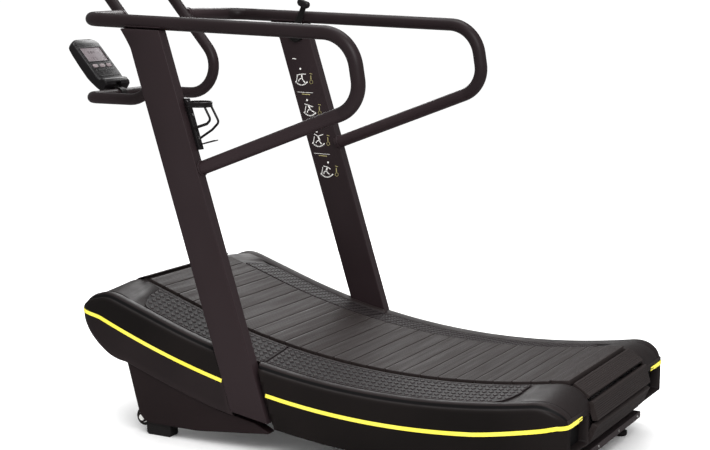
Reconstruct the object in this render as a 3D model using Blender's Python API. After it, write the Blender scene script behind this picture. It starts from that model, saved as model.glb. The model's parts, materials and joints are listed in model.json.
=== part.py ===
"""Curved manual treadmill: a non-motorised running deck with a concave slat belt.

Frame: +X is the direction the runner faces, +Y is the runner's left, +Z is up. The origin is on
the floor, at the middle of the machine's length and width. The sizes below count X from the feet
of the two uprights; the finished pieces are moved back by MACHINE_CENTRE_X. Units are metres.
"""
import math

import bmesh
import bpy
from mathutils import Matrix, Vector

# ---------------------------------------------------------------- driving dimensions
GAP = 0.0003                 # clearance between touching pieces
MACHINE_CENTRE_X = 0.04007   # middle of the overall length, ahead of the uprights' feet

# slat belt
SLAT_PITCH = 0.0603          # distance between slats along the belt's pitch line
SLAT_LENGTH = 0.0578         # one slat along the belt
SLAT_DEPTH = 0.018           # pitch line to running surface
BELT_THICKNESS = 0.004       # the two rubber belts under the slats
BELT_HALF_WIDTH = 0.242
RUBBER_Y = (0.165, 0.212)    # inner and outer edge of each rubber belt
TOTAL_SLATS = 57
RAMP_SLATS = 3               # straight stretch behind the front pulley
ARC_SLATS = 21               # concave stretch
RETURN_SLATS = 25            # hanging stretch underneath
ARC_CENTRE = (-0.405, 2.744)  # x, z of the concave arc's centre
ARC_RADIUS = 2.502           # pitch line of the concave arc
REAR_SLOPE = math.radians(10.08)   # slope of the belt where it meets the rear pulley
REAR_PULLEY_PITCH_RADIUS = 0.087
REST_PHASE = 0.106           # slat centres, in pitches, after the front tangent point

# deck structure
PLATE_Y = (0.262, 0.268)     # side plates of the welded base
PLATE_TOP_DROP = 0.011       # plate's top edge under the running surface
PLATE_HEIGHT = 0.118
CROSS_TUBE = 0.036
CROSS_TUBE_X = (-0.50, -0.10, 0.40)
ROLLER_X = (-0.68, -0.31, 0.10, 0.28)
ROLLER_RADIUS = 0.016
AXLE_RADIUS = 0.006
SHAFT_RADIUS = 0.0125
SHAFT_HALF_LENGTH = 0.300

# side covers
COVER_WALL = 0.003
COVER_HEIGHT = 0.205         # running surface to the cover's lower edge
NOSE_X = 0.726
TAIL_X = -0.944
NOSE_TIP_Z = 0.382           # height of the foremost point
TAIL_MIDDLE_Z = 0.165        # height of the rearmost point
NOSE_CORNER = 0.042          # rounding of the outer front corner, seen from above
TAIL_CORNER = 0.040
STRIPE_HEIGHT = 0.009

# uprights and tubes
UPRIGHT_Y = (0.422, 0.461)
UPRIGHT_LEAN = 0.3185        # forward run per unit of height
UPRIGHT_REAR_FOOT = -0.026   # x of the rear face at floor level
UPRIGHT_DEPTH = 0.125        # along X
UPRIGHT_WALL = 0.003
UPRIGHT_FOOT_Z = (0.102, 0.124)    # oblique foot, rear and front corner
UPRIGHT_HEAD_Z = 1.278       # top, just under the handrail
UPRIGHT_FLARE = 0.019        # front corner runs this far forward under the handrail
RAIL_RADIUS = 0.0215
RAIL_Y = 0.432
RAIL_SLOPE = 0.0315          # handrail rises this much per metre forward
RAIL_HEIGHT = 1.294          # handrail axis above the origin
RAIL_FRONT = (0.682, 0.740)  # x where the rail turns inwards and where it meets the handle
RAIL_REAR_TOP_X = -0.268
RAIL_REAR_LOW = (-0.3015, 1.081)
RAIL_FOOT_Z = 0.8655         # return leg meets the upright here
RAIL_BENDS = (0.075, 0.113, 0.0925)
TUBE_WALL = 0.0025
HANDLE_RADIUS = 0.019
HANDLE_Y = 0.177
HANDLE_BAR_X = 0.885
HANDLE_BAR_Z = 1.0444
HANDLE_TOP_Z = 1.52
HANDLE_REACH = (0.6293, 0.8546)    # x at height 1.2 and run per unit of height of the inclined legs
HANDLE_BENDS = (0.050, 0.097, 0.045)
TUBE_SEGMENTS = 10

# stand, feet and wheels
STAND_Y = (0.410, 0.448)
STAND_FLOOR = 0.039
WHEEL_CENTRE = (0.514, 0.040)
WHEEL_RADIUS = 0.030
WHEEL_Y = (0.384, 0.404)
REAR_LEG_X = (-0.890, -0.830)
REAR_LEG_Y = (0.2635, 0.300)
REAR_LEG_FOOT = 0.056

# console and resistance lever
CONSOLE_TILT = math.radians(48)
CONSOLE_PIVOT = (0.0276, 0.0293)     # tilt axis from the axis of the handle's bar
CONSOLE_HALF_WIDTH = 0.067
CONSOLE_FACE = 0.012         # face plane in front of the tilt axis
SCREEN_LENGTH = (0.095, 0.155)     # lower and upper edge, from the tilt axis
SCREEN_HALF_WIDTH = 0.054
SCREEN_THICKNESS = 0.0025
BUTTON_LENGTH = (0.0695, 0.0835)
BUTTON_Y = (0.036, 0.0, -0.036)
BUTTON_HALF_WIDTH = 0.012
CLAMP_HALF_WIDTH = 0.0142
CLAMP_RADIUS = 0.0245
PIN_RADIUS = 0.0032
PIN_HALF_LENGTH = 0.0278
LEVER_HUB = (0.420, 1.248)
LEVER_KNOB = (0.382, 1.364)

# ---------------------------------------------------------------- helpers


def clear_scene():
    for obj in list(bpy.data.objects):
        bpy.data.objects.remove(obj, do_unlink=True)


def material(name, colour, roughness, metallic=0.0):
    mat = bpy.data.materials.new(name)
    mat.use_nodes = True
    shader = mat.node_tree.nodes["Principled BSDF"]
    shader.inputs["Base Color"].default_value = (*colour, 1.0)
    shader.inputs["Roughness"].default_value = roughness
    shader.inputs["Metallic"].default_value = metallic
    return mat


def finish(name, bm, mat, origin=(0, 0, 0), smooth=False):
    """Turn a bmesh in world coordinates into an object whose origin is `origin`."""
    bmesh.ops.recalc_face_normals(bm, faces=bm.faces)
    bmesh.ops.translate(bm, verts=bm.verts, vec=-Vector(origin))
    mesh = bpy.data.meshes.new(name)
    bm.to_mesh(mesh)
    bm.free()
    if smooth:
        mesh.shade_smooth()
        mesh.set_sharp_from_angle(angle=math.radians(35))
    obj = bpy.data.objects.new(name, mesh)
    obj.location = origin
    obj.data.materials.append(mat)
    bpy.context.collection.objects.link(obj)
    return obj


def add_prism(bm, outline, y0, y1):
    """Extrude an outline of (x, z) points from y0 to y1."""
    near = [bm.verts.new((x, y0, z)) for x, z in outline]
    far = [bm.verts.new((x, y1, z)) for x, z in outline]
    count = len(outline)
    bm.faces.new(near)
    bm.faces.new(list(reversed(far)))
    for i in range(count):
        j = (i + 1) % count
        bm.faces.new((near[j], near[i], far[i], far[j]))


def add_box(bm, x, y, z):
    """Box from (low, high) pairs."""
    add_prism(bm, [(x[0], z[0]), (x[1], z[0]), (x[1], z[1]), (x[0], z[1])], y[0], y[1])


def add_lathe(bm, profile, centre, segments=24, closed_bore=False):
    """Revolve (radius, y) points about the Y line through centre (x, z)."""
    rings = []
    for radius, y in profile:
        if radius == 0:
            rings.append([bm.verts.new((centre[0], y, centre[1]))])
            continue
        angles = [2 * math.pi * k / segments for k in range(segments)]
        rings.append([bm.verts.new((centre[0] + radius * math.cos(a), y, centre[1] + radius * math.sin(a)))
                      for a in angles])
    pairs = list(zip(rings, rings[1:]))
    if closed_bore:
        pairs.append((rings[-1], rings[0]))
    for ring_a, ring_b in pairs:
        for k in range(segments):
            n = (k + 1) % segments
            corners = [ring_a[k % len(ring_a)], ring_a[n % len(ring_a)],
                       ring_b[n % len(ring_b)], ring_b[k % len(ring_b)]]
            face = list(dict.fromkeys(corners))
            bm.faces.new(face)
    if not closed_bore:
        for ring in (rings[0], rings[-1]):
            if len(ring) > 1:
                bm.faces.new(ring)


def round_path(points, radii, steps=5):
    """Polyline through `points` with each inner corner replaced by an arc of the given radius."""
    points = [Vector(p) for p in points]
    path = [points[0]]
    for k in range(1, len(points) - 1):
        before = (points[k - 1] - points[k]).normalized()
        after = (points[k + 1] - points[k]).normalized()
        half = before.angle(after) / 2
        reach = radii[k - 1] / math.tan(half)
        start = points[k] + before * reach
        centre = points[k] + (before + after).normalized() * (radii[k - 1] / math.sin(half))
        spoke = start - centre
        axis = spoke.cross(-before).normalized()
        sweep = math.pi - 2 * half
        for step in range(steps + 1):
            turn = Matrix.Rotation(sweep * step / steps, 3, axis)
            path.append(centre + turn @ spoke)
    path.append(points[-1])
    return path


def add_tube(bm, path, radius, wall=None, segments=TUBE_SEGMENTS):
    """Sweep a round section along a polyline; with a wall it is a pipe with open ends."""
    skins = [radius] if wall is None else [radius, radius - wall]
    tangents = []
    for k in range(len(path)):
        ahead = (path[min(k + 1, len(path) - 1)] - path[k])
        behind = (path[k] - path[max(k - 1, 0)])
        tangents.append((ahead.normalized() + behind.normalized()).normalized())
    side = tangents[0].orthogonal().normalized()
    rings = [[] for _ in skins]
    for k, (point, tangent) in enumerate(zip(path, tangents)):
        if k:
            side = (side - tangent * side.dot(tangent)).normalized()
        up = tangent.cross(side)
        for skin, r in enumerate(skins):
            rings[skin].append([
                bm.verts.new(point + side * r * math.cos(2 * math.pi * i / segments)
                             + up * r * math.sin(2 * math.pi * i / segments))
                for i in range(segments)])
    for skin in rings:
        for ring_a, ring_b in zip(skin, skin[1:]):
            for i in range(segments):
                n = (i + 1) % segments
                bm.faces.new((ring_a[i], ring_a[n], ring_b[n], ring_b[i]))
    for end in (0, -1):
        if wall is None:
            bm.faces.new(rings[0][end])
            continue
        for i in range(segments):
            n = (i + 1) % segments
            bm.faces.new((rings[0][end][i], rings[0][end][n], rings[1][end][n], rings[1][end][i]))


def cutter(name, bm):
    obj = finish(name, bm, MATERIALS["steel"])
    obj.hide_render = True
    obj.display_type = "WIRE"
    return obj


def boolean(obj, other, operation):
    mod = obj.modifiers.new(operation.title(), "BOOLEAN")
    mod.operation = operation
    mod.solver = "EXACT"
    mod.object = other


def side_name(side):
    return "left" if side > 0 else "right"


def both_sides(build):
    for side in (1, -1):
        build(side)


def span(side, y):
    """A (low, high) pair of Y values on the given side."""
    return (y[0], y[1]) if side > 0 else (-y[1], -y[0])


# ---------------------------------------------------------------- belt path


class BeltPath:
    """Closed pitch line: ramp, concave arc, rear pulley, hanging return, front pulley.

    The front pulley's radius and the return's radius follow from two conditions: the whole line
    holds TOTAL_SLATS pitches, and the return holds RETURN_SLATS of them.
    """

    def __init__(self):
        cx, cz = ARC_CENTRE
        turn = ARC_SLATS * SLAT_PITCH / ARC_RADIUS
        self.front_slope = turn - REAR_SLOPE
        self.arc_end = (cx - ARC_RADIUS * math.sin(REAR_SLOPE), cz - ARC_RADIUS * math.cos(REAR_SLOPE))
        self.arc_start = (cx + ARC_RADIUS * math.sin(self.front_slope),
                          cz - ARC_RADIUS * math.cos(self.front_slope))
        ramp = RAMP_SLATS * SLAT_PITCH
        self.ramp_start = (self.arc_start[0] + ramp * math.cos(self.front_slope),
                           self.arc_start[1] + ramp * math.sin(self.front_slope))
        r2 = REAR_PULLEY_PITCH_RADIUS
        self.rear_axis = (self.arc_end[0] - r2 * math.sin(REAR_SLOPE),
                          self.arc_end[1] - r2 * math.cos(REAR_SLOPE))
        self.front_radius, self.return_radius = self.solve(0.0633, 3.7)
        self.close(self.front_radius, self.return_radius)

    def close(self, r1, r3):
        """Lay the return arc on both pulleys; gives the two length errors in pitches."""
        r2 = REAR_PULLEY_PITCH_RADIUS
        slope = self.front_slope
        self.front_axis = (self.ramp_start[0] + r1 * math.sin(slope),
                           self.ramp_start[1] - r1 * math.cos(slope))
        (fx, fz), (rx, rz) = self.front_axis, self.rear_axis
        reach_front, reach_rear = r3 - r1, r3 - r2
        distance = math.hypot(fx - rx, fz - rz)
        ux, uz = (fx - rx) / distance, (fz - rz) / distance
        along = (reach_rear ** 2 - reach_front ** 2 + distance ** 2) / (2 * distance)
        height = math.sqrt(reach_rear ** 2 - along ** 2)
        self.return_centre = (rx + ux * along - uz * height, rz + uz * along + ux * height)
        cx, cz = self.return_centre
        self.return_start_angle = math.atan2(rz - cz, rx - cx)
        self.return_end_angle = math.atan2(fz - cz, fx - cx)
        self.return_turn = self.return_end_angle - self.return_start_angle
        start_heading = self.return_start_angle + math.pi / 2
        self.rear_turn = REAR_SLOPE + start_heading + math.pi
        self.front_turn = math.pi + slope - (start_heading + self.return_turn)
        self.lengths = [RAMP_SLATS * SLAT_PITCH, ARC_SLATS * SLAT_PITCH, r2 * self.rear_turn,
                        r3 * self.return_turn, r1 * self.front_turn]
        return (sum(self.lengths) / SLAT_PITCH - TOTAL_SLATS, self.lengths[3] / SLAT_PITCH - RETURN_SLATS)

    def solve(self, r1, r3):
        step = 1e-6
        for _ in range(30):
            a, b = self.close(r1, r3)
            a1, b1 = self.close(r1 + step, r3)
            a3, b3 = self.close(r1, r3 + step)
            j11, j21, j13, j23 = (a1 - a) / step, (b1 - b) / step, (a3 - a) / step, (b3 - b) / step
            det = j11 * j23 - j13 * j21
            r1 -= (a * j23 - b * j13) / det
            r3 -= (b * j11 - a * j21) / det
        return r1, r3

    def at(self, s):
        """Point on the pitch line, its heading unit vector and its outward normal, as (x, z)."""
        ramp, arc, rear, ret, front = self.lengths
        slope = self.front_slope
        if s < ramp:
            heading = math.pi + slope
            start = self.ramp_start
            point = (start[0] + s * math.cos(heading), start[1] + s * math.sin(heading))
        elif s < ramp + arc:
            heading = math.pi + slope - (s - ramp) / ARC_RADIUS
            point = (ARC_CENTRE[0] - ARC_RADIUS * math.sin(heading),
                     ARC_CENTRE[1] + ARC_RADIUS * math.cos(heading))
        elif s < ramp + arc + rear:
            heading = math.pi - REAR_SLOPE + (s - ramp - arc) / REAR_PULLEY_PITCH_RADIUS
            point = self.on_circle(self.rear_axis, REAR_PULLEY_PITCH_RADIUS, heading)
        elif s < ramp + arc + rear + ret:
            heading = self.return_start_angle + math.pi / 2 + (s - ramp - arc - rear) / self.return_radius
            point = self.on_circle(self.return_centre, self.return_radius, heading)
        else:
            rest = s - ramp - arc - rear - ret
            heading = self.return_end_angle + math.pi / 2 + rest / self.front_radius
            point = self.on_circle(self.front_axis, self.front_radius, heading)
        along = Vector((math.cos(heading), math.sin(heading)))
        outward = Vector((along.y, -along.x))
        return Vector(point), along, outward

    @staticmethod
    def on_circle(centre, radius, heading):
        return (centre[0] + radius * math.sin(heading), centre[1] - radius * math.cos(heading))

    def surface_z(self, x):
        """Height of the running surface at x, continued straight past both ends."""
        top = ARC_RADIUS - SLAT_DEPTH
        low = ARC_CENTRE[0] - top * math.sin(REAR_SLOPE)
        high = ARC_CENTRE[0] + top * math.sin(self.front_slope)
        inside = min(max(x, low), high)
        z = ARC_CENTRE[1] - math.sqrt(top ** 2 - (inside - ARC_CENTRE[0]) ** 2)
        if x > high:
            z += (x - high) * math.tan(self.front_slope)
        elif x < low:
            z += (low - x) * math.tan(REAR_SLOPE)
        return z


# ---------------------------------------------------------------- belt, pulleys and rollers


def add_slat_run(bm, centres):
    """Slats and the two rubber belts under them as one body, in cells that share faces."""
    widths = (-BELT_HALF_WIDTH, -RUBBER_Y[1], -RUBBER_Y[0], RUBBER_Y[0], RUBBER_Y[1], BELT_HALF_WIDTH)
    half = SLAT_LENGTH / 2
    stations = []
    for s in centres:
        point, along, outward = PATH.at(s)
        for end in (-half, half):
            stations.append([point + along * end + outward * depth
                             for depth in (SLAT_DEPTH, 0, -BELT_THICKNESS)])
    grid = {}

    def vertex(i, j, k):
        if (i, j, k) not in grid:
            x, z = stations[i][k]
            grid[i, j, k] = bm.verts.new((x, widths[j], z))
        return grid[i, j, k]

    def filled(i, j, k):
        if not (0 <= i < len(stations) - 1 and 0 <= j < 5 and 0 <= k < 2):
            return False
        return i % 2 == 0 if k == 0 else j in (1, 3)

    for i in range(len(stations) - 1):
        for j in range(5):
            for k in range(2):
                if not filled(i, j, k):
                    continue
                for axis, step in ((0, -1), (0, 1), (1, -1), (1, 1), (2, -1), (2, 1)):
                    near = [i, j, k]
                    near[axis] += step
                    if filled(*near):
                        continue
                    fixed = (i, j, k)[axis] + (step > 0)
                    others = [a for a in range(3) if a != axis]
                    corners = []
                    for du, dv in ((0, 0), (1, 0), (1, 1), (0, 1)):
                        index = [0, 0, 0]
                        index[axis] = fixed
                        index[others[0]] = (i, j, k)[others[0]] + du
                        index[others[1]] = (i, j, k)[others[1]] + dv
                        corners.append(vertex(*index))
                    bm.faces.new(corners)
    bmesh.ops.recalc_face_normals(bm, faces=bm.faces)
    bmesh.ops.dissolve_limit(bm, angle_limit=math.radians(0.05), verts=bm.verts, edges=bm.edges)


def build_belt():
    ends = [0]
    for length in PATH.lengths:
        ends.append(ends[-1] + length)
    names = ("belt_ramp", "belt_arc", "belt_rear_wrap", "belt_return", "belt_front_wrap")
    origins = (PATH.ramp_start, PATH.arc_end, PATH.rear_axis, PATH.rear_axis, PATH.front_axis)
    centres = [(k + REST_PHASE) * SLAT_PITCH for k in range(TOTAL_SLATS)]
    for index, name in enumerate(names):
        bm = bmesh.new()
        add_slat_run(bm, [s for s in centres if ends[index] <= s < ends[index + 1]])
        x, z = origins[index]
        finish(name, bm, MATERIALS["slat"], (x, 0, z))


def build_pulley_shaft(name, axis, pitch_radius):
    """A shaft with two pulleys, turned as one piece; the rubber belts lie on the pulleys."""
    radius = pitch_radius - BELT_THICKNESS - GAP
    inner, outer = RUBBER_Y[0] - 0.004, RUBBER_Y[1] + 0.004
    hub = 0.030
    half = [(0, SHAFT_HALF_LENGTH), (SHAFT_RADIUS, SHAFT_HALF_LENGTH), (SHAFT_RADIUS, outer),
            (radius, outer), (radius, inner), (hub, inner), (hub, inner - 0.015),
            (SHAFT_RADIUS, inner - 0.015)]
    mirrored = [(r, -y) for r, y in reversed(half)]
    bm = bmesh.new()
    add_lathe(bm, half + mirrored, axis, segments=20)
    return finish(name, bm, MATERIALS["steel"], (axis[0], 0, axis[1]), smooth=True)


def roller_axis(x):
    """Axis of a support roller that touches the rubber belts from below."""
    reach = ARC_RADIUS + BELT_THICKNESS + ROLLER_RADIUS + 2 * GAP
    return (x, ARC_CENTRE[1] - math.sqrt(reach ** 2 - (x - ARC_CENTRE[0]) ** 2))


def build_support_roller(index, x):
    axis = roller_axis(x)
    half = [(0, PLATE_Y[1]), (AXLE_RADIUS, PLATE_Y[1]), (AXLE_RADIUS, RUBBER_Y[1] - 0.004),
            (ROLLER_RADIUS, RUBBER_Y[1] - 0.004), (ROLLER_RADIUS, RUBBER_Y[0] + 0.012),
            (AXLE_RADIUS, RUBBER_Y[0] + 0.012)]
    mirrored = [(r, -y) for r, y in reversed(half)]
    bm = bmesh.new()
    add_lathe(bm, half + mirrored, axis, segments=12)
    finish(f"support_roller_{index}", bm, MATERIALS["steel"], (axis[0], 0, axis[1]), smooth=True)


def build_bearing(name, axis, side):
    """Flanged bearing housing bolted outside a side plate."""
    start = PLATE_Y[1] + GAP
    bore = SHAFT_RADIUS + GAP
    profile = [(bore, start), (0.034, start), (0.034, start + 0.006), (0.024, start + 0.006),
               (0.024, start + 0.016), (bore, start + 0.016)]
    bm = bmesh.new()
    add_lathe(bm, [(r, side * y) for r, y in profile], axis, segments=16, closed_bore=True)
    finish(name, bm, MATERIALS["cast"], (axis[0], 0, axis[1]), smooth=True)


# ---------------------------------------------------------------- base, stand and feet


def plate_outline():
    """Side plate: follows the running surface and carries both pulley shafts."""
    xs = [-0.893 + (0.632 + 0.893) * k / 18 for k in range(19)]
    ends = [0.05 * max(0, (x - 0.56) / 0.07) ** 2 + 0.04 * max(0, (-0.84 - x) / 0.05) ** 2 for x in xs]
    top = [(x, PATH.surface_z(x) - PLATE_TOP_DROP - drop) for x, drop in zip(xs, ends)]
    bottom = [(x, PATH.surface_z(x) - PLATE_TOP_DROP - PLATE_HEIGHT) for x in reversed(xs)]
    return top + bottom


def deck_mid_z(x):
    """Middle of the space between the running stretch and the return stretch."""
    rx, rz = PATH.return_centre
    below = rz - math.sqrt(PATH.return_radius ** 2 - (x - rx) ** 2)
    return (PATH.surface_z(x) - SLAT_DEPTH + below) / 2


def build_base():
    bm = bmesh.new()
    add_prism(bm, plate_outline(), *PLATE_Y)
    base = finish("base_frame", bm, MATERIALS["frame"])
    pieces = []
    bm = bmesh.new()
    add_prism(bm, plate_outline(), -PLATE_Y[1], -PLATE_Y[0])
    pieces.append(cutter("right_plate_tool", bm))
    for number, x in enumerate(CROSS_TUBE_X):
        bm = bmesh.new()
        z = deck_mid_z(x)
        half = CROSS_TUBE / 2
        add_box(bm, (x - half, x + half), (-PLATE_Y[0] - 0.001, PLATE_Y[0] + 0.001), (z - half, z + half))
        pieces.append(cutter(f"cross_tube_tool_{number}", bm))
    for side in (1, -1):
        name = side_name(side)
        bm = bmesh.new()
        add_box(bm, (0.056, 0.116), span(side, (PLATE_Y[1] - 0.001, UPRIGHT_Y[0] - GAP)), (0.180, 0.236))
        pieces.append(cutter(f"upright_bracket_tool_{name}", bm))
        bm = bmesh.new()
        add_box(bm, (0.385, 0.445), span(side, (PLATE_Y[1] - 0.001, STAND_Y[0] - GAP)), (0.268, 0.300))
        pieces.append(cutter(f"stand_bracket_tool_{name}", bm))
        bm = bmesh.new()
        add_box(bm, REAR_LEG_X, span(side, REAR_LEG_Y), (REAR_LEG_FOOT, 0.148))
        pieces.append(cutter(f"rear_leg_tool_{name}", bm))
        bm = bmesh.new()
        web_x = (REAR_LEG_X[0] + 0.004, REAR_LEG_X[1] - 0.004)
        add_box(bm, web_x, span(side, (0.2622, 0.2677)), (0.070, 0.19))
        pieces.append(cutter(f"rear_web_tool_{name}", bm))
    for piece in pieces:
        boolean(base, piece, "UNION")
    holes = [(PATH.front_axis, SHAFT_RADIUS + 0.002), (PATH.rear_axis, SHAFT_RADIUS + 0.002)]
    holes += [(roller_axis(x), AXLE_RADIUS + GAP) for x in ROLLER_X]
    for number, (axis, radius) in enumerate(holes):
        bm = bmesh.new()
        add_lathe(bm, [(radius, -0.31), (radius, 0.31)], axis, segments=16)
        boolean(base, cutter(f"shaft_hole_tool_{number}", bm), "DIFFERENCE")
    for side in (1, -1):
        bm = bmesh.new()
        stem = bmesh.ops.create_cone(bm, cap_ends=True, segments=16, radius1=0.006, radius2=0.006,
                                     depth=0.08)
        bmesh.ops.translate(bm, verts=stem["verts"], vec=(*rear_foot_spot(side), REAR_LEG_FOOT))
        boolean(base, cutter(f"foot_hole_tool_{side_name(side)}", bm), "DIFFERENCE")


def rear_foot_spot(side):
    return (sum(REAR_LEG_X) / 2, side * sum(REAR_LEG_Y) / 2)


def build_rear_foot(side):
    """Screwed levelling foot: rubber pad and threaded stem."""
    x, y = rear_foot_spot(side)
    bm = bmesh.new()
    rings = [(0.020, 0.0), (0.022, 0.004), (0.022, 0.014), (0.010, 0.020), (0.0055, 0.020), (0.0055, 0.080)]
    segments = 12
    loops = [[bm.verts.new((x + r * math.cos(2 * math.pi * k / segments),
                            y + r * math.sin(2 * math.pi * k / segments), z)) for k in range(segments)]
             for r, z in rings]
    for a, b in zip(loops, loops[1:]):
        for k in range(segments):
            n = (k + 1) % segments
            bm.faces.new((a[k], a[n], b[n], b[k]))
    bm.faces.new(loops[0])
    bm.faces.new(loops[-1])
    finish(f"rear_foot_{side_name(side)}", bm, MATERIALS["rubber"], (x, y, 0), smooth=True)


def stand_top_z(x):
    """Upper edge of the stand: runs just inside the side cover's lower edge."""
    return cover_low(x) + (0.014 if x > 0.2 else -0.002)


def build_stand(side):
    xs = (0.545, 0.50, 0.44, 0.38, 0.32, 0.26, 0.205)
    top = [(x, stand_top_z(x)) for x in xs]
    tail = [(0.199, cover_low(0.199) - 0.002), (0.06, cover_low(0.06) - 0.002), (0.012, 0.072)]
    floor = [(0.012, 0.066), (0.274, STAND_FLOOR), (0.440, STAND_FLOOR)]
    corner_centre = (0.448, 0.092)
    corner = [(corner_centre[0] + 0.053 * math.sin(a), corner_centre[1] - 0.053 * math.cos(a))
              for a in (math.radians(d) for d in (5, 25, 45, 65, 80))]
    bm = bmesh.new()
    add_prism(bm, top + tail + floor + corner, *span(side, STAND_Y))
    stand = finish(f"stand_{side_name(side)}", bm, MATERIALS["frame"])
    x, z = WHEEL_CENTRE
    bm = bmesh.new()
    tab = [(0.455, 0.058), (0.470, 0.080), (x + 0.004, z + 0.014), (x + 0.014, z + 0.004),
           (x + 0.012, z - 0.009), (x, z - 0.014), (0.493, 0.034), (0.480, 0.046)]
    add_prism(bm, tab, *span(side, (STAND_Y[0] - 0.003, STAND_Y[0] + 0.001)))
    boolean(stand, cutter(f"wheel_tab_tool_{side_name(side)}", bm), "UNION")
    bm = bmesh.new()
    hollow = [(0.50, 0.200), (0.472, 0.090), (0.440, 0.052), (0.280, 0.052), (0.12, 0.068), (0.215, 0.112),
              (0.27, 0.133), (0.44, 0.186)]
    add_prism(bm, hollow, *span(side, (STAND_Y[0] - 0.02, STAND_Y[1] - 0.004)))
    boolean(stand, cutter(f"stand_hollow_tool_{side_name(side)}", bm), "DIFFERENCE")


def build_front_foot(side):
    bm = bmesh.new()
    outline = [(0.384, 0.0), (0.468, 0.0), (0.474, 0.008), (0.474, STAND_FLOOR - 0.001),
               (0.381, STAND_FLOOR - 0.001)]
    add_prism(bm, outline, *span(side, (0.398, 0.4405)))
    foot = finish(f"front_foot_{side_name(side)}", bm, MATERIALS["rubber"])
    bm = bmesh.new()
    corner_centre = (0.448, 0.092)
    add_lathe(bm, [(0.0536, side * 0.39), (0.0536, side * 0.46)], corner_centre, segments=48)
    boolean(foot, cutter(f"foot_round_tool_{side_name(side)}", bm), "DIFFERENCE")


def build_transport_wheel(side):
    x, z = WHEEL_CENTRE
    low, high = WHEEL_Y
    bore = 0.0053
    profile = [(bore, low), (0.011, low), (0.011, low + 0.002), (0.024, low + 0.002),
               (WHEEL_RADIUS, low + 0.004), (WHEEL_RADIUS, high - 0.004), (0.024, high - 0.002),
               (0.011, high - 0.002), (0.011, high), (bore, high)]
    bm = bmesh.new()
    add_lathe(bm, [(r, side * y) for r, y in profile], (x, z), segments=20, closed_bore=True)
    centre = (x, side * (low + high) / 2, z)
    finish(f"transport_wheel_{side_name(side)}", bm, MATERIALS["rubber"], centre, smooth=True)
    bolt = [(0, low - 0.006), (0.009, low - 0.006), (0.009, low - 0.001), (0.005, low - 0.001),
            (0.005, STAND_Y[0] - 0.003 - GAP), (0, STAND_Y[0] - 0.003 - GAP)]
    bm = bmesh.new()
    add_lathe(bm, [(r, side * y) for r, y in bolt], (x, z), segments=12)
    finish(f"wheel_bolt_{side_name(side)}", bm, MATERIALS["steel"], (x, side * low, z), smooth=True)


def build_rear_panel():
    """Folded channel between the rear legs, under the belt."""
    front, rear, low, high, wall = -0.8905, -0.945, 0.046, 0.082, 0.003
    outline = [(front, low), (rear, low), (rear, high), (front, high), (front, high - wall),
               (rear + wall, high - wall), (rear + wall, low + wall), (front, low + wall)]
    bm = bmesh.new()
    add_prism(bm, outline, -0.2995, 0.2995)
    finish("rear_panel", bm, MATERIALS["frame"])


# ---------------------------------------------------------------- covers, trim and pads


FRONT_STATIONS = [0.03, 0.116, 0.202, 0.288, 0.373, 0.459, 0.545, 0.575, 0.605, 0.635, 0.665, 0.69,
                  0.71, 0.7235]
REAR_STATIONS = [0.080, -0.014, -0.109, -0.203, -0.298, -0.392, -0.487, -0.581, -0.676, -0.770, -0.800,
                 -0.840, -0.870, -0.895, -0.915, -0.932, -0.9425]


def cover_low(x):
    """Lower edge of the side covers."""
    edge = PATH.surface_z(x) - COVER_HEIGHT - 0.008 * min(max(x * 5, 0), 1)
    return max(edge, 0.058)


def nose(x, start):
    """0 before `start`, rising to 1 at the nose tip along a quarter ellipse."""
    if x <= start:
        return 0.0
    return 1 - math.sqrt(max(0.0, 1 - ((x - start) / (NOSE_X - start)) ** 2))


def tail(x, start):
    """0 ahead of `start`, rising to 1 at the tail end along a quarter ellipse."""
    if x >= start:
        return 0.0
    return 1 - math.sqrt(max(0.0, 1 - ((start - x) / (start - TAIL_X)) ** 2))


def cover_section(x):
    """Outer skin of a side cover at x, as (y, z) from the belt's edge over the top and down."""
    top = PATH.surface_z(x)
    low = cover_low(x)
    a, b = nose(x, 0.585), nose(x, 0.50)
    top = top * (1 - a) + (NOSE_TIP_Z + 0.006) * a
    low = cover_low(min(x, 0.56)) * (1 - b) + (NOSE_TIP_Z - 0.012) * b
    c = tail(x, -0.840)
    top = top * (1 - c) + TAIL_MIDDLE_Z * c
    low = low + 0.030 * tail(x, -0.88)
    squeeze = (top - low) / COVER_HEIGHT
    corner = NOSE_CORNER * nose(x, 0.67) + TAIL_CORNER * tail(x, -0.87)
    pad_drop = 0.0035 if -0.78 < x < 0.56 else 0.0
    shape = [(0.246, -0.020), (0.246, -0.004), (0.252, -0.002), (0.262, -0.003 - pad_drop),
             (0.402, -0.023 - pad_drop), (0.408, -0.022), (0.426, -0.016), (0.440, -0.020), (0.450, -0.038),
             (0.456, -0.105), (0.454, -COVER_HEIGHT)]
    section = []
    for y, drop in shape:
        lean = corner * (y - 0.246) / 0.21
        section.append((y - lean, top + drop * squeeze))
    return section


def offset_section(section, wall):
    """Inner skin: every point moved inward along the bisector of its neighbours."""
    moved = []
    for k, (y, z) in enumerate(section):
        y0, z0 = section[max(k - 1, 0)]
        y1, z1 = section[min(k + 1, len(section) - 1)]
        length = math.hypot(y1 - y0, z1 - z0)
        moved.append((y + (z1 - z0) / length * wall, z - (y1 - y0) / length * wall))
    return moved


def add_cover(bm, xs, side):
    rings = []
    for x in xs:
        outer = cover_section(x)
        inner = offset_section(outer, COVER_WALL)
        rings.append([bm.verts.new((x, side * y, z)) for y, z in outer + list(reversed(inner))])
    count = len(rings[0])
    half = count // 2
    for a, b in zip(rings, rings[1:]):
        for k in range(count):
            n = (k + 1) % count
            bm.faces.new((a[k], a[n], b[n], b[k]))
    for ring in (rings[0], rings[-1]):
        for k in range(half - 1):
            bm.faces.new((ring[k], ring[k + 1], ring[count - 2 - k], ring[count - 1 - k]))


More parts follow.
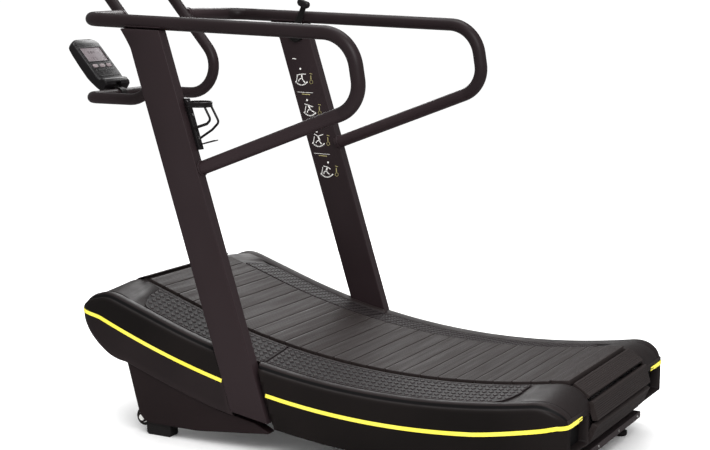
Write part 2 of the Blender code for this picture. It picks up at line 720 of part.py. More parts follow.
def spread(start, end, count):
    return [start + (end - start) * k / (count - 1) for k in range(count)]


def slanted(offset, low=-0.1, high=0.7):
    """Two ends of a line parallel to the uprights, `offset` ahead of their rear face."""
    return [(UPRIGHT_REAR_FOOT + offset + UPRIGHT_LEAN * z, z) for z in (low, high)]


def build_covers(side):
    name = side_name(side)
    bm = bmesh.new()
    add_cover(bm, FRONT_STATIONS, side)
    front = finish(f"front_cover_{name}", bm, MATERIALS["cover"])
    low, high = slanted(UPRIGHT_DEPTH + 0.002)
    bm = bmesh.new()
    add_prism(bm, [(-0.3, low[1]), low, high, (-0.3, high[1])], *span(side, (UPRIGHT_Y[0] - 0.003, 0.6)))
    boolean(front, cutter(f"front_cover_notch_tool_{name}", bm), "DIFFERENCE")
    low, high = slanted(-0.012)
    bm = bmesh.new()
    add_prism(bm, [(-0.3, low[1]), low, high, (-0.3, high[1])], *span(side, (0.1, 0.6)))
    boolean(front, cutter(f"front_cover_seam_tool_{name}", bm), "DIFFERENCE")
    bm = bmesh.new()
    add_cover(bm, REAR_STATIONS, side)
    rear = finish(f"rear_cover_{name}", bm, MATERIALS["cover"])
    low, high = slanted(-0.014)
    bm = bmesh.new()
    add_prism(bm, [low, (0.4, low[1]), (0.4, high[1]), high], *span(side, (0.1, 0.6)))
    boolean(rear, cutter(f"rear_cover_seam_tool_{name}", bm), "DIFFERENCE")


def skin_between(stations, x):
    """The cover's outer skin at x, straight between its two neighbouring stations."""
    for a, b in zip(stations, stations[1:]):
        if min(a, b) <= x <= max(a, b):
            t = (x - a) / (b - a)
            pairs = zip(cover_section(a), cover_section(b))
            return [(y0 + (y1 - y0) * t, z0 + (z1 - z0) * t) for (y0, z0), (y1, z1) in pairs]
    return cover_section(x)


def add_strip(bm, stations, ends, side, index, fractions, thickness):
    """A strip lying on the cover from ends[0] to ends[1], across part of one facet of its section."""
    low, high = min(ends), max(ends)
    xs = [ends[0]] + [x for x in stations if low < x < high] + [ends[1]]
    if ends[0] < ends[1]:
        xs.sort()
    else:
        xs.sort(reverse=True)
    lift = 2 * GAP
    rings = []
    for x in xs:
        (y0, z0), (y1, z1) = skin_between(stations, x)[index:index + 2]
        places = [Vector((y0 + (y1 - y0) * f, z0 + (z1 - z0) * f)) for f in fractions]
        along = (places[1] - places[0]).normalized()
        out = Vector((-along.y, along.x))
        quad = [places[0] + out * lift, places[1] + out * lift,
                places[1] + out * (lift + thickness), places[0] + out * (lift + thickness)]
        rings.append([bm.verts.new((x, side * p.x, p.y)) for p in quad])
    for a, b in zip(rings, rings[1:]):
        for k in range(4):
            n = (k + 1) % 4
            bm.faces.new((a[k], a[n], b[n], b[k]))
    bm.faces.new(rings[0])
    bm.faces.new(rings[-1])


def build_trim_and_pads(side):
    name = side_name(side)
    front_stop = UPRIGHT_REAR_FOOT + UPRIGHT_DEPTH + UPRIGHT_LEAN * 0.22 + 0.006
    rear_stop = UPRIGHT_REAR_FOOT + UPRIGHT_LEAN * 0.19 - 0.022
    seam = UPRIGHT_REAR_FOOT + UPRIGHT_LEAN * 0.28
    stripe = (1 - STRIPE_HEIGHT / 0.067, 0.99)
    pad = (0.015, 0.985)
    strips = (("front_trim", "yellow", FRONT_STATIONS, (front_stop, 0.712), 8, stripe, 0.0015),
              ("rear_trim", "yellow", REAR_STATIONS, (rear_stop, -0.933), 8, stripe, 0.0015),
              ("front_pad", "pad", FRONT_STATIONS, (seam - 0.006, 0.544), 3, pad, 0.003),
              ("rear_pad", "pad", REAR_STATIONS, (seam - 0.022, -0.769), 3, pad, 0.003))
    for label, finish_name, stations, ends, index, fractions, thickness in strips:
        bm = bmesh.new()
        add_strip(bm, stations, ends, side, index, fractions, thickness)
        finish(f"{label}_{name}", bm, MATERIALS[finish_name])


def build_front_hood():
    """Curved guard around the front pulley, between the side plates."""
    inner = PATH.front_radius + SLAT_DEPTH + 0.008
    outer = inner + 0.003
    angles = [math.radians(d) for d in spread(-58, 86, 13)]
    x, z = PATH.front_axis
    outline = [(x + outer * math.cos(a), z + outer * math.sin(a)) for a in angles]
    outline += [(x + inner * math.cos(a), z + inner * math.sin(a)) for a in reversed(angles)]
    bm = bmesh.new()
    add_prism(bm, outline, -0.2455, 0.2455)
    finish("front_hood", bm, MATERIALS["cover"], smooth=True)


# ---------------------------------------------------------------- uprights, rails and handle


def rail_z(x):
    return RAIL_HEIGHT + RAIL_SLOPE * x


def upright_front(z):
    return UPRIGHT_REAR_FOOT + UPRIGHT_DEPTH + UPRIGHT_LEAN * z


def upright_rear(z):
    return UPRIGHT_REAR_FOOT + UPRIGHT_LEAN * z


def upright_outline(inset):
    """Leaning section with an oblique foot and a flared front corner under the rail."""
    foot_rear, foot_front = UPRIGHT_FOOT_Z
    head, neck = UPRIGHT_HEAD_Z, UPRIGHT_HEAD_Z - 0.052
    return [(upright_rear(foot_rear) + inset, foot_rear), (upright_front(foot_front) - inset, foot_front),
            (upright_front(neck) - inset, neck),
            (upright_front(head) + UPRIGHT_FLARE - inset, head + 0.004),
            (upright_rear(head) + inset, head - 0.001)]


def build_upright(side):
    name = side_name(side)
    bm = bmesh.new()
    add_prism(bm, upright_outline(0), *span(side, UPRIGHT_Y))
    upright = finish(f"upright_{name}", bm, MATERIALS["frame"])
    open_foot = 0.02
    inner = [(x, z - (open_foot if z < 2 * UPRIGHT_FOOT_Z[0] else UPRIGHT_WALL))
             for x, z in upright_outline(UPRIGHT_WALL)]
    bm = bmesh.new()
    add_prism(bm, inner, *span(side, (UPRIGHT_Y[0] + UPRIGHT_WALL, UPRIGHT_Y[1] - UPRIGHT_WALL)))
    boolean(upright, cutter(f"upright_hollow_tool_{name}", bm), "DIFFERENCE")
    if side < 0:
        bm = bmesh.new()
        x, z = CABLE_EXIT
        add_lathe(bm, [(0.009, -0.44), (0.009, -0.40)], (x, z), segments=12)
        boolean(upright, cutter("cable_hole_tool", bm), "DIFFERENCE")


def build_handrail(side):
    """Upper grip, rear loop and return leg to the upright; the front end turns in to the handle."""
    y = side * RAIL_Y
    turn, front = RAIL_FRONT
    corners = [(handle_x(rail_z(front)), side * HANDLE_Y, rail_z(front)), (turn, y, rail_z(turn)),
               (RAIL_REAR_TOP_X, y, rail_z(RAIL_REAR_TOP_X)), (RAIL_REAR_LOW[0], y, RAIL_REAR_LOW[1]),
               (upright_rear(RAIL_FOOT_Z) - GAP, y, RAIL_FOOT_Z)]
    path = round_path(corners, RAIL_BENDS, steps=3)
    bm = bmesh.new()
    add_tube(bm, path, RAIL_RADIUS, wall=TUBE_WALL)
    rail = finish(f"handrail_{side_name(side)}", bm, MATERIALS["frame"], smooth=True)
    low, high, ahead = RAIL_FOOT_Z - 0.2, RAIL_FOOT_Z + 0.25, upright_rear(RAIL_FOOT_Z) + 0.4
    bm = bmesh.new()
    wedge = [(upright_rear(low) - GAP, low), (ahead, low), (ahead, high), (upright_rear(high) - GAP, high)]
    add_prism(bm, wedge, *span(side, (RAIL_Y - 2 * RAIL_RADIUS, RAIL_Y + 2 * RAIL_RADIUS)))
    boolean(rail, cutter(f"rail_foot_tool_{side_name(side)}", bm), "DIFFERENCE")
    joint_z = rail_z(front)
    leg = [Vector((handle_x(z), side * HANDLE_Y, z)) for z in (joint_z - 0.1, joint_z + 0.1)]
    bm = bmesh.new()
    add_tube(bm, leg, HANDLE_RADIUS + 0.0016)
    boolean(rail, cutter(f"rail_cope_tool_{side_name(side)}", bm), "DIFFERENCE")


def handle_x(z):
    """Axis of the push handle's inclined legs."""
    return HANDLE_REACH[0] + (z - 1.200) * HANDLE_REACH[1]


def build_push_handle():
    """One bent tube: lower bar for the console, two loops and two inclined legs up to the top grip."""
    top = HANDLE_TOP_Z
    half = [(HANDLE_BAR_X, HANDLE_Y, HANDLE_BAR_Z), (handle_x(HANDLE_BAR_Z), HANDLE_Y, HANDLE_BAR_Z),
            (handle_x(top), HANDLE_Y, top)]
    corners = [Vector((half[2][0], 0.0, half[2][2]))] + [Vector(p) for p in reversed(half)]
    corners += [Vector((x, -y, z)) for x, y, z in half] + [Vector((half[2][0], -0.002, half[2][2]))]
    path = round_path(corners, HANDLE_BENDS + HANDLE_BENDS[::-1], steps=3)
    bm = bmesh.new()
    add_tube(bm, path, HANDLE_RADIUS, wall=TUBE_WALL)
    handle = finish("push_handle", bm, MATERIALS["frame"], smooth=True)
    bm = bmesh.new()
    plug = [Vector((half[2][0], 0.012, top)), Vector((half[2][0], -0.012, top))]
    add_tube(bm, plug, HANDLE_RADIUS - 0.001)
    boolean(handle, cutter("handle_weld_tool", bm), "UNION")
    bm = bmesh.new()
    vent = [Vector((HANDLE_BAR_X, 0.10, HANDLE_BAR_Z - z)) for z in (0.030, 0.0)]
    add_tube(bm, vent, 0.003, segments=8)
    boolean(handle, cutter("handle_vent_tool", bm), "DIFFERENCE")


# ---------------------------------------------------------------- brake


def build_brake():
    x, z = PATH.front_axis
    bm = bmesh.new()
    bore = SHAFT_RADIUS + GAP
    profile = [(bore, -0.286), (0.022, -0.286), (0.022, -0.2925), (0.062, -0.2925), (0.062, -0.2965),
               (bore, -0.2965)]
    add_lathe(bm, profile, (x, z), segments=24, closed_bore=True)
    finish("brake_disc", bm, MATERIALS["aluminium"], (x, 0, z), smooth=True)
    px, pz = YOKE_PIVOT
    bm = bmesh.new()
    outline = [(px - 0.012, pz - 0.012), (px + 0.012, pz - 0.012), (px + 0.018, pz + 0.02),
               (x - 0.052, z - 0.028), (x - 0.052, z + 0.022), (x - 0.090, z + 0.022), (x - 0.094, z - 0.03)]
    add_prism(bm, outline, -0.307, -0.282)
    yoke = finish("brake_yoke", bm, MATERIALS["cast"], (px, 0, pz))
    bm = bmesh.new()
    add_box(bm, (x - 0.084, x), (-0.3005, -0.2885), (z - 0.040, z + 0.05))
    boolean(yoke, cutter("yoke_slot_tool", bm), "DIFFERENCE")
    bm = bmesh.new()
    add_lathe(bm, [(0.0053, -0.31), (0.0053, -0.28)], (px, pz), segments=16)
    boolean(yoke, cutter("yoke_bore_tool", bm), "DIFFERENCE")
    bm = bmesh.new()
    pin = [(0, -PLATE_Y[1] - GAP), (0.005, -PLATE_Y[1] - GAP), (0.005, -0.308), (0.009, -0.308),
           (0.009, -0.312), (0, -0.312)]
    add_lathe(bm, pin, (px, pz), segments=16)
    finish("brake_pivot_pin", bm, MATERIALS["steel"], (px, 0, pz), smooth=True)
    hole_x, hole_z = CABLE_EXIT
    lane = -sum(UPRIGHT_Y) / 2
    top = 1.20
    route = [(upright_rear(top) + UPRIGHT_DEPTH / 2, lane, top), (hole_x, lane, hole_z),
             (hole_x, -0.395, hole_z), (0.34, -0.335, 0.325), (x - 0.100, -0.2945, z + 0.005)]
    bm = bmesh.new()
    add_tube(bm, round_path(route, (0.012, 0.012, 0.05), steps=3), 0.003, segments=8)
    finish("brake_cable", bm, MATERIALS["rubber"], smooth=True)


# ---------------------------------------------------------------- lever, console and cage


def build_lever():
    x, z = LEVER_HUB
    face = -UPRIGHT_Y[0] + GAP
    bm = bmesh.new()
    disc = [(0, face), (0.030, face), (0.030, face + 0.012), (0.0, face + 0.012)]
    add_lathe(bm, disc, (x, z), segments=28)
    finish("lever_housing", bm, MATERIALS["plastic"], (x, 0, z), smooth=True)
    start = face + 0.012 + GAP
    knob = Vector((LEVER_KNOB[0] - x, LEVER_KNOB[1] - z))
    along = knob.normalized()
    across = Vector((-along.y, along.x))
    bm = bmesh.new()
    arm = [along * -0.016 + across * 0.010, along * -0.016 - across * 0.010, along * 0.02 - across * 0.013,
           knob - along * 0.012 - across * 0.007, knob - along * 0.012 + across * 0.007,
           along * 0.02 + across * 0.013]
    add_prism(bm, [(x + p.x, z + p.y) for p in arm], start, start + 0.008)
    finish("resistance_lever", bm, MATERIALS["plastic"], (x, 0, z))
    bm = bmesh.new()
    grip = [knob - along * (0.012 - GAP) - across * 0.013, knob - along * 0.004 - across * 0.019,
            knob + along * 0.010 - across * 0.018, knob + along * 0.014 - across * 0.010,
            knob + along * 0.014 + across * 0.010, knob + along * 0.010 + across * 0.018,
            knob - along * 0.004 + across * 0.019, knob - along * (0.012 - GAP) + across * 0.013]
    add_prism(bm, [(x + p.x, z + p.y) for p in grip], start, start + 0.026)
    finish("lever_knob", bm, MATERIALS["plastic"], (x, 0, z))


def console_frame():
    """Origin on the console's tilt axis, length up the screen, thickness towards the runner."""
    length = Vector((math.cos(CONSOLE_TILT), 0, math.sin(CONSOLE_TILT)))
    width = Vector((0, 1, 0))
    facing = width.cross(length) * -1
    turn = Matrix((length, width, facing)).transposed().to_4x4()
    return Matrix.Translation(TILT_AXIS) @ turn


def add_console_block(bm, outline, y0, y1):
    """Prism in the console's own frame; outline is (length, thickness) points."""
    frame = console_frame()
    near = [bm.verts.new(frame @ Vector((u, y0, w))) for u, w in outline]
    far = [bm.verts.new(frame @ Vector((u, y1, w))) for u, w in outline]
    bm.faces.new(near)
    bm.faces.new(far)
    for k in range(len(outline)):
        n = (k + 1) % len(outline)
        bm.faces.new((near[k], near[n], far[n], far[k]))


def build_console():
    bm = bmesh.new()
    bore = HANDLE_RADIUS + GAP
    width = CLAMP_HALF_WIDTH
    ring = [(bore, -width), (CLAMP_RADIUS, -width), (CLAMP_RADIUS, width), (bore, width)]
    add_lathe(bm, ring, (HANDLE_BAR_X, HANDLE_BAR_Z), segments=24, closed_bore=True)
    bracket = finish("console_bracket", bm, MATERIALS["plastic"], smooth=True)
    tx, tz = TILT_AXIS.x, TILT_AXIS.z
    axis = Vector((tx, tz))
    along = Vector(CONSOLE_PIVOT).normalized()
    across = Vector((-along.y, along.x)) * 0.010
    foot = Vector((HANDLE_BAR_X, HANDLE_BAR_Z)) + along * (CLAMP_RADIUS - 0.003)
    post = [foot + across, foot - across, axis - across * 0.8, axis + along * 0.008, axis + across * 0.8]
    bm = bmesh.new()
    add_prism(bm, [tuple(p) for p in post], -width, width)
    boolean(bracket, cutter("bracket_post_tool", bm), "UNION")
    bm = bmesh.new()
    add_lathe(bm, [(PIN_RADIUS + GAP, -0.05), (PIN_RADIUS + GAP, 0.05)], (tx, tz), segments=12)
    boolean(bracket, cutter("bracket_bore_tool", bm), "DIFFERENCE")
    pin = [(0, -PIN_HALF_LENGTH), (PIN_RADIUS, -PIN_HALF_LENGTH), (PIN_RADIUS, PIN_HALF_LENGTH),
           (0, PIN_HALF_LENGTH)]
    bm = bmesh.new()
    add_lathe(bm, pin, (tx, tz), segments=12)
    finish("console_hinge_pin", bm, MATERIALS["steel"], tuple(TILT_AXIS), smooth=True)
    build_console_head()


def build_console_head():
    """Slab with a forward lip at its foot, a screen recess and three button wells."""
    face, half = CONSOLE_FACE, CONSOLE_HALF_WIDTH
    shell = [(-0.015, -0.004), (-0.010, -0.014), (0.009, -0.020), (0.055, -0.025), (0.100, -0.024),
             (0.170, -0.018), (0.190, -0.010), (0.195, 0.002), (0.188, face), (0.022, face), (0.018, 0.021),
             (-0.008, 0.019), (-0.015, 0.010)]
    bm = bmesh.new()
    add_console_block(bm, shell, -half, half)
    body = finish("console_body", bm, MATERIALS["plastic"], tuple(TILT_AXIS))
    slot = CLAMP_HALF_WIDTH + 2 * GAP
    bm = bmesh.new()
    add_console_block(bm, [(-0.03, -0.05), (0.011, -0.05), (0.011, 0.05), (-0.03, 0.05)], -slot, slot)
    boolean(body, cutter("console_slot_tool", bm), "DIFFERENCE")
    bm = bmesh.new()
    bore_end = PIN_HALF_LENGTH + GAP
    add_lathe(bm, [(PIN_RADIUS + GAP, -bore_end), (PIN_RADIUS + GAP, bore_end)], (TILT_AXIS.x, TILT_AXIS.z),
              segments=12)
    boolean(body, cutter("console_bore_tool", bm), "DIFFERENCE")
    low, high = SCREEN_LENGTH
    floor = face - 0.004
    bm = bmesh.new()
    add_console_block(bm, [(low, floor), (high, floor), (high, 0.03), (low, 0.03)],
                      -SCREEN_HALF_WIDTH, SCREEN_HALF_WIDTH)
    boolean(body, cutter("screen_recess_tool", bm), "DIFFERENCE")
    back, front = floor + GAP, floor + GAP + SCREEN_THICKNESS
    screen = [(low + GAP, back), (high - GAP, back), (high - GAP, front), (low + GAP, front)]
    bm = bmesh.new()
    add_console_block(bm, screen, GAP - SCREEN_HALF_WIDTH, SCREEN_HALF_WIDTH - GAP)
    finish("console_screen", bm, MATERIALS["lcd"], tuple(TILT_AXIS))
    low, high = BUTTON_LENGTH
    back, front = face - 0.0044, face + 0.0016
    for number, y in enumerate(BUTTON_Y, start=1):
        well = BUTTON_HALF_WIDTH + 0.0005
        bm = bmesh.new()
        add_console_block(bm, [(low - 0.0005, face - 0.006), (high + 0.0005, face - 0.006),
                               (high + 0.0005, 0.03), (low - 0.0005, 0.03)], y - well, y + well)
        boolean(body, cutter(f"button_hole_tool_{number}", bm), "DIFFERENCE")
        bm = bmesh.new()
        add_console_block(bm, [(low, back), (high, back), (high, front), (low, front)],
                          y - BUTTON_HALF_WIDTH, y + BUTTON_HALF_WIDTH)
        finish(f"console_button_{number}", bm, MATERIALS["button"], tuple(TILT_AXIS))


CAGE_Z = (0.925, 1.080)      # back plate
CAGE_RING_Z = 1.064
CAGE_RING_RADIUS = (0.036, 0.040)
CAGE_PLATE = 0.012           # thickness of the back plate
CAGE_Y = 0.4345
CAGE_RING_Y = 0.421


def build_bottle_cage():
    """Bottle holder on the left upright's rear face: plate, ring, two bowed arms and a bottom shelf."""
    low, high = CAGE_Z
    bm = bmesh.new()
    plate = [(upright_rear(low) - GAP - CAGE_PLATE, low), (upright_rear(low) - GAP, low),
             (upright_rear(high) - GAP, high), (upright_rear(high) - GAP - CAGE_PLATE, high)]
    add_prism(bm, plate, CAGE_Y - 0.012, CAGE_Y + 0.012)
    cage = finish("bottle_cage", bm, MATERIALS["plastic"])
    inner, outer = CAGE_RING_RADIUS
    centre = Vector((upright_rear(CAGE_RING_Z) - CAGE_PLATE - inner, CAGE_RING_Y, CAGE_RING_Z))
    segments = 20
    bm = bmesh.new()
    rings = []
    for radius, height in ((inner, -0.008), (outer, -0.008), (outer, 0.008), (inner, 0.008)):
        rings.append([bm.verts.new(centre + Vector((radius * math.cos(2 * math.pi * k / segments),
                                                    radius * math.sin(2 * math.pi * k / segments), height)))
                      for k in range(segments)])
    for a, b in zip(rings, rings[1:] + rings[:1]):
        for k in range(segments):
            n = (k + 1) % segments
            bm.faces.new((a[k], a[n], b[n], b[k]))
    boolean(cage, cutter("cage_ring_tool", bm), "UNION")
    for number, (y, drop, foot) in enumerate(((0.0040, 0.034, 0.062), (-0.0085, 0.047, 0.092)), start=1):
        bow, front = centre.x - outer - 0.006, centre.x - inner + 0.001
        top, bend, root = CAGE_RING_Z, CAGE_RING_Z - drop, CAGE_RING_Z - foot
        arm = [(front - 0.003, top), (bow, bend), (bow + 0.010, bend - 0.016),
               (upright_rear(root) - 0.006, root),
               (upright_rear(root + 0.012) - 0.006, root + 0.012), (bow + 0.016, bend - 0.008),
               (bow + 0.008, bend + 0.002), (front + 0.004, top)]
        bm = bmesh.new()
        add_prism(bm, arm, CAGE_Y + y - 0.003, CAGE_Y + y + 0.003)
        boolean(cage, cutter(f"cage_arm_tool_{number}", bm), "UNION")
    shelf_z = low + 0.012
    root, tip = upright_rear(shelf_z) - 0.006, upright_rear(shelf_z) - 0.068
    bm = bmesh.new()
    add_prism(bm, [(root, shelf_z), (tip, shelf_z + 0.016), (tip, shelf_z + 0.020), (root, shelf_z + 0.004)],
              CAGE_Y - 0.009, CAGE_Y + 0.009)
    boolean(cage, cutter("cage_shelf_tool", bm), "UNION")


# ---------------------------------------------------------------- assembly

clear_scene()
MATERIALS = {
    "frame": material("frame_paint", (0.038, 0.030, 0.031), 0.42, 0.2),
    "cover": material("cover_plastic", (0.028, 0.024, 0.025), 0.5),
    "slat": material("slat_rubber", (0.034, 0.027, 0.027), 0.7),
    "pad": material("step_pad", (0.045, 0.040, 0.041), 0.75),
    "yellow": material("trim_yellow", (0.86, 0.76, 0.06), 0.45),
    "steel": material("bare_steel", (0.45, 0.45, 0.46), 0.35, 1.0),
    "aluminium": material("aluminium", (0.70, 0.70, 0.71), 0.35, 1.0),
    "cast": material("cast_iron", (0.12, 0.12, 0.13), 0.6, 0.8),
    "rubber": material("rubber", (0.02, 0.02, 0.02), 0.85),
    "plastic": material("black_plastic", (0.022, 0.020, 0.021), 0.4),
    "button": material("button_plastic", (0.16, 0.14, 0.15), 0.5),
    "lcd": material("lcd_grey", (0.24, 0.21, 0.22), 0.3),
}
PATH = BeltPath()
CABLE_EXIT = (0.150, 0.250)
YOKE_PIVOT = (PATH.front_axis[0] - 0.082, PATH.front_axis[1] - 0.062)
TILT_AXIS = Vector((HANDLE_BAR_X + CONSOLE_PIVOT[0], 0.0, HANDLE_BAR_Z + CONSOLE_PIVOT[1]))

build_base()
both_sides(build_stand)
both_sides(build_front_foot)
both_sides(build_rear_foot)
both_sides(build_transport_wheel)
build_rear_panel()
build_belt()
build_pulley_shaft("front_pulley_shaft", PATH.front_axis, PATH.front_radius)
build_pulley_shaft("rear_pulley_shaft", PATH.rear_axis, REAR_PULLEY_PITCH_RADIUS)
for roller_number, roller_x in enumerate(ROLLER_X, start=1):
    build_support_roller(roller_number, roller_x)
for end_name, end_axis in (("front", PATH.front_axis), ("rear", PATH.rear_axis)):
    for side_sign in (1, -1):
        build_bearing(f"{end_name}_bearing_{side_name(side_sign)}", end_axis, side_sign)
both_sides(build_covers)
both_sides(build_trim_and_pads)
build_front_hood()
both_sides(build_upright)
both_sides(build_handrail)
build_push_handle()
build_brake()
build_lever()
build_console()
build_bottle_cage()
for built in bpy.data.objects:
    built.location.x -= MACHINE_CENTRE_X
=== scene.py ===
"""Looks of the curved manual treadmill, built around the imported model. Units are metres, +X forward, +Z up.

Sizes are counted from the feet of the uprights (their rear faces meet the floor near x = 0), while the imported
model has its origin in the middle of the machine's length; TO_FRAME carries finished pieces over.
"""
import json
import math

import bmesh
import bpy
from mathutils import Matrix, Vector
from mathutils.bvhtree import BVHTree


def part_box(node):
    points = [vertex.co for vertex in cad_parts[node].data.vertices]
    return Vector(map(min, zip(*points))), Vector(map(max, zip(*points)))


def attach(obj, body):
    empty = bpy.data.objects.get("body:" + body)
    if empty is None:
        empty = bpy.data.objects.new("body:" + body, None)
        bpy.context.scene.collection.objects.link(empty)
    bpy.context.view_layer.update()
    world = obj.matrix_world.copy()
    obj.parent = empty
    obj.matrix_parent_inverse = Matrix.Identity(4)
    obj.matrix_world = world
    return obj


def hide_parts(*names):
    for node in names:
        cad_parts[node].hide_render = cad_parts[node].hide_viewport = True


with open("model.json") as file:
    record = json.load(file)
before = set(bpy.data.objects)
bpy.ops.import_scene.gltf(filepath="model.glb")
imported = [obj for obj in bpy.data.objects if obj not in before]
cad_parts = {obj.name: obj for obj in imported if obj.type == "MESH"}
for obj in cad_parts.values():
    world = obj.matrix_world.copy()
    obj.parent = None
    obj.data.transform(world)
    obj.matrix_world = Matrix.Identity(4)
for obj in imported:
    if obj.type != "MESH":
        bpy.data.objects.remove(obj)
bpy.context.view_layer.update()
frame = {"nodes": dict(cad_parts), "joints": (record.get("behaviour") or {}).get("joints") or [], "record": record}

# ---------------------------------------------------------------- sizes taken from the frame

JOINTS = {joint["name"]: joint for joint in frame["joints"]}
RATIO = {pair["joint"]: pair["ratio"] for pair in frame["record"]["behaviour"]["couplings"]}
TO_FRAME = Vector((-0.04007, 0, 0))
PACKED = {name: tuple(Vector(corner) - TO_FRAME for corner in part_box(name)) for name in frame["nodes"]}


def joint_spot(name):
    return Vector(JOINTS[name]["pos_m"]) - TO_FRAME


ARC_CENTRE = joint_spot("belt_travel").xz
REAR_AXIS = joint_spot("rear_pulley_spin").xz
FRONT_AXIS = joint_spot("front_pulley_spin").xz
RETURN_CENTRE = joint_spot("belt_return_travel").xz
ARC_RADIUS = RATIO["belt_front_slope_travel"]
REAR_RADIUS = ARC_RADIUS / RATIO["rear_pulley_spin"]
FRONT_RADIUS = ARC_RADIUS / RATIO["front_pulley_spin"]
RETURN_RADIUS = ARC_RADIUS / RATIO["belt_return_travel"]
RAMP_AXIS = JOINTS["belt_front_slope_travel"]["axis"]
FRONT_SLOPE = math.atan2(-RAMP_AXIS[2], -RAMP_AXIS[0])
REAR_SLOPE = math.atan2(ARC_CENTRE.x - REAR_AXIS.x, ARC_CENTRE.y - REAR_AXIS.y)
ARC_SLATS, RAMP_SLATS, TOTAL_SLATS = 21, 3, 57
PITCH = (FRONT_SLOPE + REAR_SLOPE) * ARC_RADIUS / ARC_SLATS
REST_PHASE = 0.106           # slat centres, in pitches, after the front tangent point
SLAT_LENGTH = 0.0578
SLAT_DEPTH = 0.018           # pitch line to running surface
BELT_HALF_WIDTH = PACKED["belt_arc"][1].y
RUBBER_Y = (0.165, 0.212)

NOSE_X, NOSE_TIP_Z = 0.726, 0.382
TAIL_X, TAIL_FACE_Z = -0.944, (0.132, 0.229)
COVER_HEIGHT = 0.205
STRIPE_DROP = 0.105
UPRIGHT_Y = (0.422, 0.461)
UPRIGHT_LEAN = 0.3185
UPRIGHT_REAR_FOOT = -0.026
UPRIGHT_DEPTH = 0.125
UPRIGHT_HEAD, UPRIGHT_FLARE, FLARE_HEIGHT = 1.2865, 0.019, 0.06
RAIL_RADIUS, RAIL_Y = 0.0215, 0.432
RAIL_TURN_X, RAIL_FRONT_X, RAIL_REAR_TOP_X = 0.682, 0.74, -0.268
RAIL_REAR_LOW = (-0.3015, 1.081)
RAIL_FOOT_Z = 0.8655
RAIL_BENDS = (0.075, 0.113, 0.0925)
HANDLE_RADIUS, HANDLE_Y = 0.019, 0.177
HANDLE_BAR = (0.885, 1.0444)
HANDLE_TOP_Z = 1.52
HANDLE_BENDS = (0.05, 0.097, 0.045)
STAND_FLOOR = 0.039

# ---------------------------------------------------------------- mesh helpers


def spread(start, end, count):
    return [start + (end - start) * k / (count - 1) for k in range(count)]


def smooth_step(t):
    t = min(max(t, 0.0), 1.0)
    return t * t * (3 - 2 * t)


def circle(count, power=1.0, start=0.0):
    """(cos, sin) pairs round a circle, or round a squarer shape where power is below 1."""
    angles = [2 * math.pi * (k + start) / count for k in range(count)]
    return [tuple(math.copysign(abs(v) ** power, v) for v in (math.cos(a), math.sin(a))) for a in angles]


def axes(axis):
    """The unit vector along axis and two more square to it."""
    axis = Vector(axis).normalized()
    side = axis.orthogonal().normalized()
    return axis, side, axis.cross(side)


def arc_points(centre, radius, start, end, count):
    """(x, z) points on a circle; angles in degrees from +X towards +Z."""
    angles = [math.radians(a) for a in spread(start, end, count)]
    return [(centre[0] + radius * math.cos(a), centre[1] + radius * math.sin(a)) for a in angles]


def round_path(points, radii, steps=14):
    """Polyline with each inner corner replaced by an arc."""
    points = [Vector(p) for p in points]
    path = [points[0]]
    for previous, corner, following, radius in zip(points, points[1:], points[2:], radii):
        before = (previous - corner).normalized()
        after = (following - corner).normalized()
        half = before.angle(after) / 2
        centre = corner + (before + after).normalized() * (radius / math.sin(half))
        spoke = corner + before * (radius / math.tan(half)) - centre
        axis = spoke.cross(-before).normalized()
        sweep = math.pi - 2 * half
        path += [centre + Matrix.Rotation(sweep * step / steps, 3, axis) @ spoke for step in range(steps + 1)]
    return path + [points[-1]]


def placed(name, data):
    obj = bpy.data.objects.new(name, data)
    bpy.context.collection.objects.link(obj)
    return obj


def shade(mesh, sharp):
    mesh.shade_smooth()
    mesh.set_sharp_from_angle(angle=math.radians(sharp))


def add_bevel(obj, width, segments=3):
    mod = obj.modifiers.new("Edge", "BEVEL")
    mod.width, mod.segments = width, segments
    mod.limit_method, mod.angle_limit = "ANGLE", math.radians(30)
    mod.harden_normals = False


